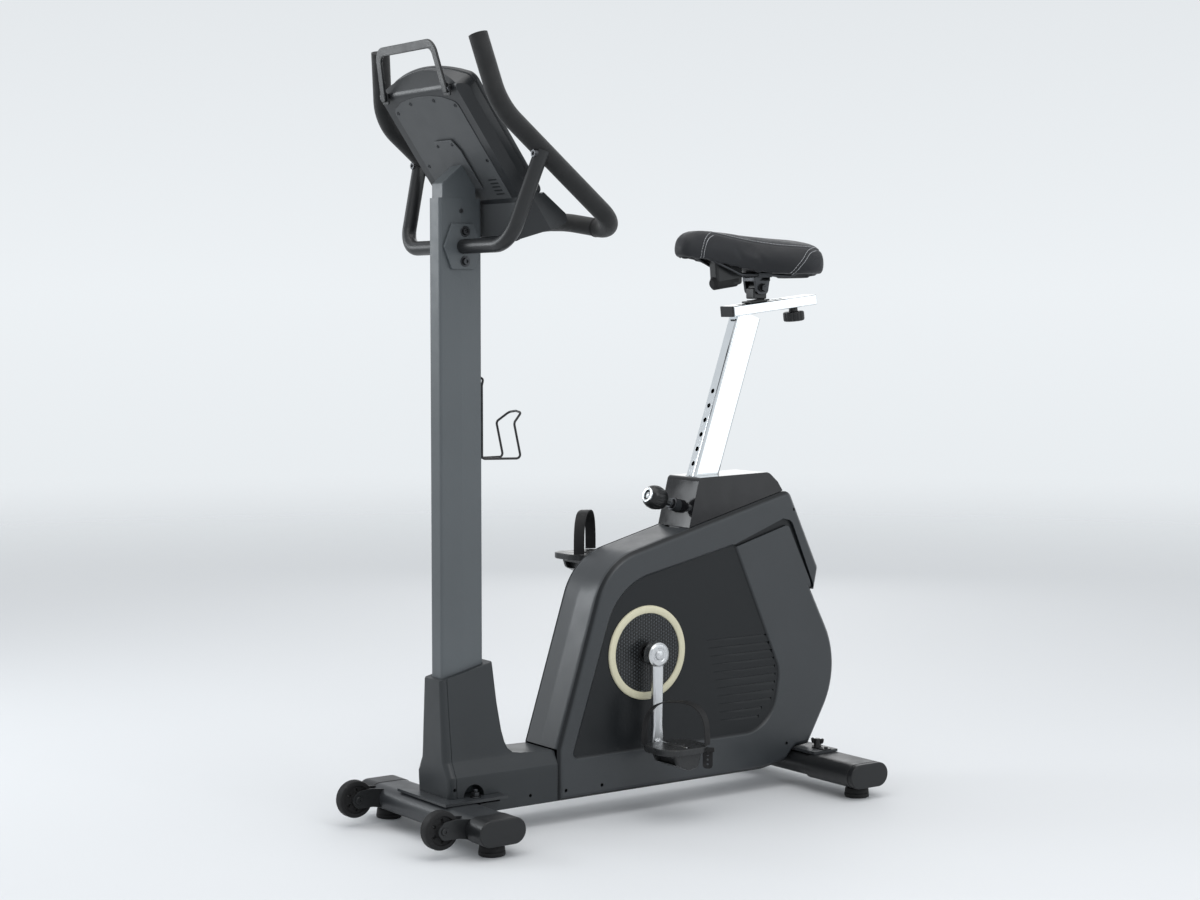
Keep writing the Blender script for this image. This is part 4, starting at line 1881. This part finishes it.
def handle_support(side, sign):
    """Bent tube from a screwed plate on the mast's side up to the handlebar."""
    y, z, radius = -0.3505, 1.0760, 0.0134
    foot = 0.0204 + 0.0028
    path = rounded([
        (sign * foot, y, z), ((sign * 0.176, y, z), 0.050), (sign * 0.2065, -0.3010, 1.2400),
    ], closed=False, steps=20)
    bend = tube("bend", path, radius, 10)
    line = BAR_CORNER - BAR_BEND
    middle = BAR_BEND + line * 0.35
    middle.x *= sign
    turn = Vector((0, line.y, line.z)).to_track_quat("Z", "Y").to_euler()
    room = rod("room", GRIP_RADIUS + 0.0008, 0.30, middle, tuple(turn), 64)
    above = baked(box("above", (-0.05, -0.2, 0.001), (0.05, 0.2, 0.10)))
    above.data.transform(Matrix.Translation(middle) @ Matrix.Rotation(atan2(line.z, line.y), 4, "X"))
    bend = solid(cut(bend, room, above))
    half_height, half_depth, slope = 0.041, 0.040, 0.016
    hexagon = rounded([
        ((-half_depth, 0), 0.004), ((-half_depth + slope, half_height), 0.004),
        ((half_depth - slope, half_height), 0.004),
        ((half_depth, 0), 0.004), ((half_depth - slope, -half_height), 0.004),
        ((-half_depth + slope, -half_height), 0.004),
    ], steps=4)
    low, high = ordered(sign * 0.0204, sign * 0.0250)
    flange = side_plate("flange", [shifted(hexagon, y, z)], low, high, 0.0009)
    dress(bend, f"support_{side}", "frame", "frame_paint", "coat_dark", f"handle_support_{side}")
    dress(flange, f"support_flange_{side}", "frame", "frame_paint", "coat", f"handle_support_{side}")
    heads = []
    for offset in (0.027, -0.027):
        spot = Vector((sign * 0.0250, y + 0.004, z + offset))
        heads.append(rod("washer", 0.0098, 0.0016, spot + Vector((sign * 0.0008, 0, 0)), ALONG_X, 48,
                         0.0004))
        heads.append(screw_head(0.0070, 0.0050, spot + Vector((sign * 0.0014, 0, 0)),
                                (0, sign * pi / 2, 0)))
    dress(merged("heads", heads), f"support_bolts_{side}", "frame", "steel", "black_steel")
    clamp_spot = Vector(path[-1]) - Vector((sign * 0.001, 0.017, 0.006))
    knob = screw_head(0.0078, 0.0080, clamp_spot - Vector((0, -0.006, 0)), (pi / 2, 0, 0))
    dress(knob, f"clamp_bolt_{side}", "frame", "steel", "black_steel")


def bottle_cage():
    wire = 0.0022
    low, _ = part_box("bottle_cage")
    back_y = low.y + wire
    half = rounded([
        (0.000, back_y + 0.003, 0.8390), ((0.013, back_y + 0.003, 0.8350), 0.006),
        ((0.013, back_y, 0.8240), 0.006),
        ((0.013, back_y, 0.6890), 0.006), ((0.0300, -0.2300, 0.6880), 0.007),
        ((0.0300, -0.2450, 0.7540), 0.008),
        ((0.0200, -0.2230, 0.7720), 0.010), (0.000, -0.2210, 0.7745),
    ], closed=False, steps=10)
    cage = tube("cage", half + [(-x, y, z) for x, y, z in reversed(half[1:-1])], wire, 5)
    dress(cage, "bottle_wire", "frame", "wire", "wire", "bottle_cage")


def mast_details():
    """Blind screws on the sides of the mast, and the cage's two fixing screws."""
    heads = []
    for sign in (1, -1):
        heads.append(screw_head(0.0042, 0.0016, (sign * 0.0200, -0.3517, 1.1400), (0, sign * pi / 2, 0)))
    for z in (0.8050, 0.7100):
        heads.append(screw_head(0.0055, 0.0030, (0, -0.3072, z), (-pi / 2, 0, 0)))
    dress(merged("heads", heads), "mast_screws", "frame", "steel", "black_steel")


# ---------------------------------------------------------------- studio and camera


FLOOR_RADIUS = 14
FLOOR_COLOUR = (0.69, 0.705, 0.72)
FLOOR_FADE = (1.6, 9.0)                   # distances over which the floor melts into the backdrop
WORLD_STRENGTH = 0.85
# each stop is (height of the direction, from -1 straight down to 1 straight up, and its colour)
BACKDROP_SHOWN = (
    (-1.0, (0.76, 0.795, 0.82)), (1.0, (0.74, 0.77, 0.80)), (-0.17, (0.77, 0.805, 0.83)),
    (0.01, (0.85, 0.885, 0.912)), (0.16, (0.77, 0.80, 0.825)),
)
BACKDROP_LIGHT = (
    (-1.0, (0.40, 0.42, 0.44)), (0.0, (0.96, 1.00, 1.03)), (0.5, (0.78, 0.81, 0.85)),
    (1.0, (0.78, 0.80, 0.82)),
)
LAMP_TARGET = Vector((0, 0, 0.65))
LAMPS = (
    # name, place, width and height, power, colour
    ("overhead", (0.3, -0.3, 3.4), (3.2, 3.2), 46, (1.0, 1.0, 1.0)),
    ("left_front", (-2.0, -1.95, 1.45), (1.0, 0.9), 18, (0.93, 0.97, 1.0)),
    ("right_rear", (2.9, 2.2, 1.4), (1.8, 2.4), 11, (0.93, 0.97, 1.0)),
    ("right_high", (2.9, 0.1, 2.5), (1.6, 1.6), 20, (1.0, 1.0, 1.0)),
    ("left_rear", (-2.6, 2.2, 1.6), (1.4, 2.2), 9, (1.0, 0.99, 0.97)),
)
CAMERA_PLACE = (3.380, -2.453, 0.958)
CAMERA_AZIMUTH, CAMERA_PITCH = radians(54.35), radians(3.625)
CAMERA_LENS = 65.4


def studio_floor():
    """Pale floor that fades out with distance."""
    bm = bmesh.new()
    bmesh.ops.create_circle(bm, cap_ends=True, segments=96, radius=FLOOR_RADIUS)
    floor = from_bmesh("floor", bm)
    material = bpy.data.materials.new("floor")
    material.use_nodes = True
    tree = material.node_tree
    shader = tree.nodes["Principled BSDF"]
    shader.inputs["Base Color"].default_value = (*FLOOR_COLOUR, 1)
    shader.inputs["Roughness"].default_value = 0.65
    shader.inputs["Specular IOR Level"].default_value = 0.2
    place = tree.nodes.new("ShaderNodeTexCoord")
    length = tree.nodes.new("ShaderNodeVectorMath")
    length.operation = "LENGTH"
    fade = tree.nodes.new("ShaderNodeMapRange")
    fade.interpolation_type = "SMOOTHSTEP"
    fade.inputs["From Min"].default_value, fade.inputs["From Max"].default_value = FLOOR_FADE
    clear = tree.nodes.new("ShaderNodeBsdfTransparent")
    mix = tree.nodes.new("ShaderNodeMixShader")
    tree.links.new(place.outputs["Object"], length.inputs[0])
    tree.links.new(length.outputs["Value"], fade.inputs["Value"])
    tree.links.new(fade.outputs["Result"], mix.inputs[0])
    tree.links.new(shader.outputs[0], mix.inputs[1])
    tree.links.new(clear.outputs[0], mix.inputs[2])
    tree.links.new(mix.outputs[0], tree.nodes["Material Output"].inputs["Surface"])
    floor.data.materials.append(material)


def backdrop():
    """Even surroundings: one colour ramp for what the camera sees, another for the light they give."""
    world = bpy.data.worlds.new("studio")
    world.use_nodes = True
    bpy.context.scene.world = world
    tree = world.node_tree
    tree.nodes.clear()
    place = tree.nodes.new("ShaderNodeTexCoord")
    split = tree.nodes.new("ShaderNodeSeparateXYZ")
    tree.links.new(place.outputs["Generated"], split.inputs[0])
    ramps = []
    for levels in (BACKDROP_SHOWN, BACKDROP_LIGHT):
        height = tree.nodes.new("ShaderNodeMapRange")
        height.inputs["From Min"].default_value = -1
        ramp = tree.nodes.new("ShaderNodeValToRGB")
        for level, colour in levels:
            element = ramp.color_ramp.elements.new((level + 1) / 2)
            element.color = (*colour, 1)
        for end in (ramp.color_ramp.elements[0], ramp.color_ramp.elements[-1]):
            nearest = min(levels, key=lambda stop: abs((stop[0] + 1) / 2 - end.position))
            end.color = (*nearest[1], 1)
        tree.links.new(split.outputs["Z"], height.inputs["Value"])
        tree.links.new(height.outputs["Result"], ramp.inputs["Fac"])
        ramps.append(ramp)
    path = tree.nodes.new("ShaderNodeLightPath")
    shown, lighting = tree.nodes.new("ShaderNodeBackground"), tree.nodes.new("ShaderNodeBackground")
    tree.links.new(ramps[0].outputs["Color"], shown.inputs["Color"])
    tree.links.new(ramps[1].outputs["Color"], lighting.inputs["Color"])
    lighting.inputs["Strength"].default_value = WORLD_STRENGTH
    both = tree.nodes.new("ShaderNodeMixShader")
    output = tree.nodes.new("ShaderNodeOutputWorld")
    tree.links.new(path.outputs["Is Camera Ray"], both.inputs[0])
    tree.links.new(lighting.outputs[0], both.inputs[1])
    tree.links.new(shown.outputs[0], both.inputs[2])
    tree.links.new(both.outputs[0], output.inputs["Surface"])


def lamps():
    """Large soft lights, all turned to the middle of the bike."""
    for name, spot, size, power, colour in LAMPS:
        data = bpy.data.lights.new(name, "AREA")
        data.shape = "RECTANGLE"
        data.size, data.size_y = size
        data.energy = power
        data.color = colour
        lamp = put(name, data)
        lamp.location = spot
        lamp.rotation_euler = (LAMP_TARGET - Vector(spot)).to_track_quat("-Z", "Y").to_euler()
        lamp.visible_camera = False


def studio():
    view = bpy.context.scene.view_settings
    view.view_transform = "Standard"
    view.look = "None"
    studio_floor()
    backdrop()
    lamps()


def camera():
    data = bpy.data.cameras.new("camera")
    data.sensor_width = 36
    data.lens = CAMERA_LENS
    cam = put("camera", data)
    cam.location = CAMERA_PLACE
    level = cos(CAMERA_PITCH)
    look = Vector((-sin(CAMERA_AZIMUTH) * level, cos(CAMERA_AZIMUTH) * level, -sin(CAMERA_PITCH)))
    cam.rotation_euler = look.to_track_quat("-Z", "Y").to_euler()
    data.clip_start, data.clip_end = 0.05, 60
    bpy.context.scene.camera = cam


# ---------------------------------------------------------------- assembly

camera()
studio()
on_both_sides(side_cover)
spine()
on_both_sides(crank_disc)
seat_shroud()
mast_boot()
stabilisers()
feet()
base_bolts()
on_both_sides(crank)
on_both_sides(pedal)
seat_post()
seat_rail()
pull_pin()
rail_knob()
saddle_cushion()
saddle_hardware()
saddle_carriage()
saddle_base()
panel_place = console_case()
console_front()
console_neck(*panel_place[1:])
tablet_loop()
handlebar()
on_both_sides(handle_support)
bottle_cage()
mast_details()
repaint("coat", "mast")
repaint("coat_mid", "main_frame")
repaint("zinc", "crank_axle", "crank_bearing_left", "crank_bearing_right", "flywheel_axle", "brake_magnets")
repaint("satin", "drive_pulley", "brake_motor", "seat_bush")
repaint("iron", "flywheel")
repaint("rubber", "drive_belt")
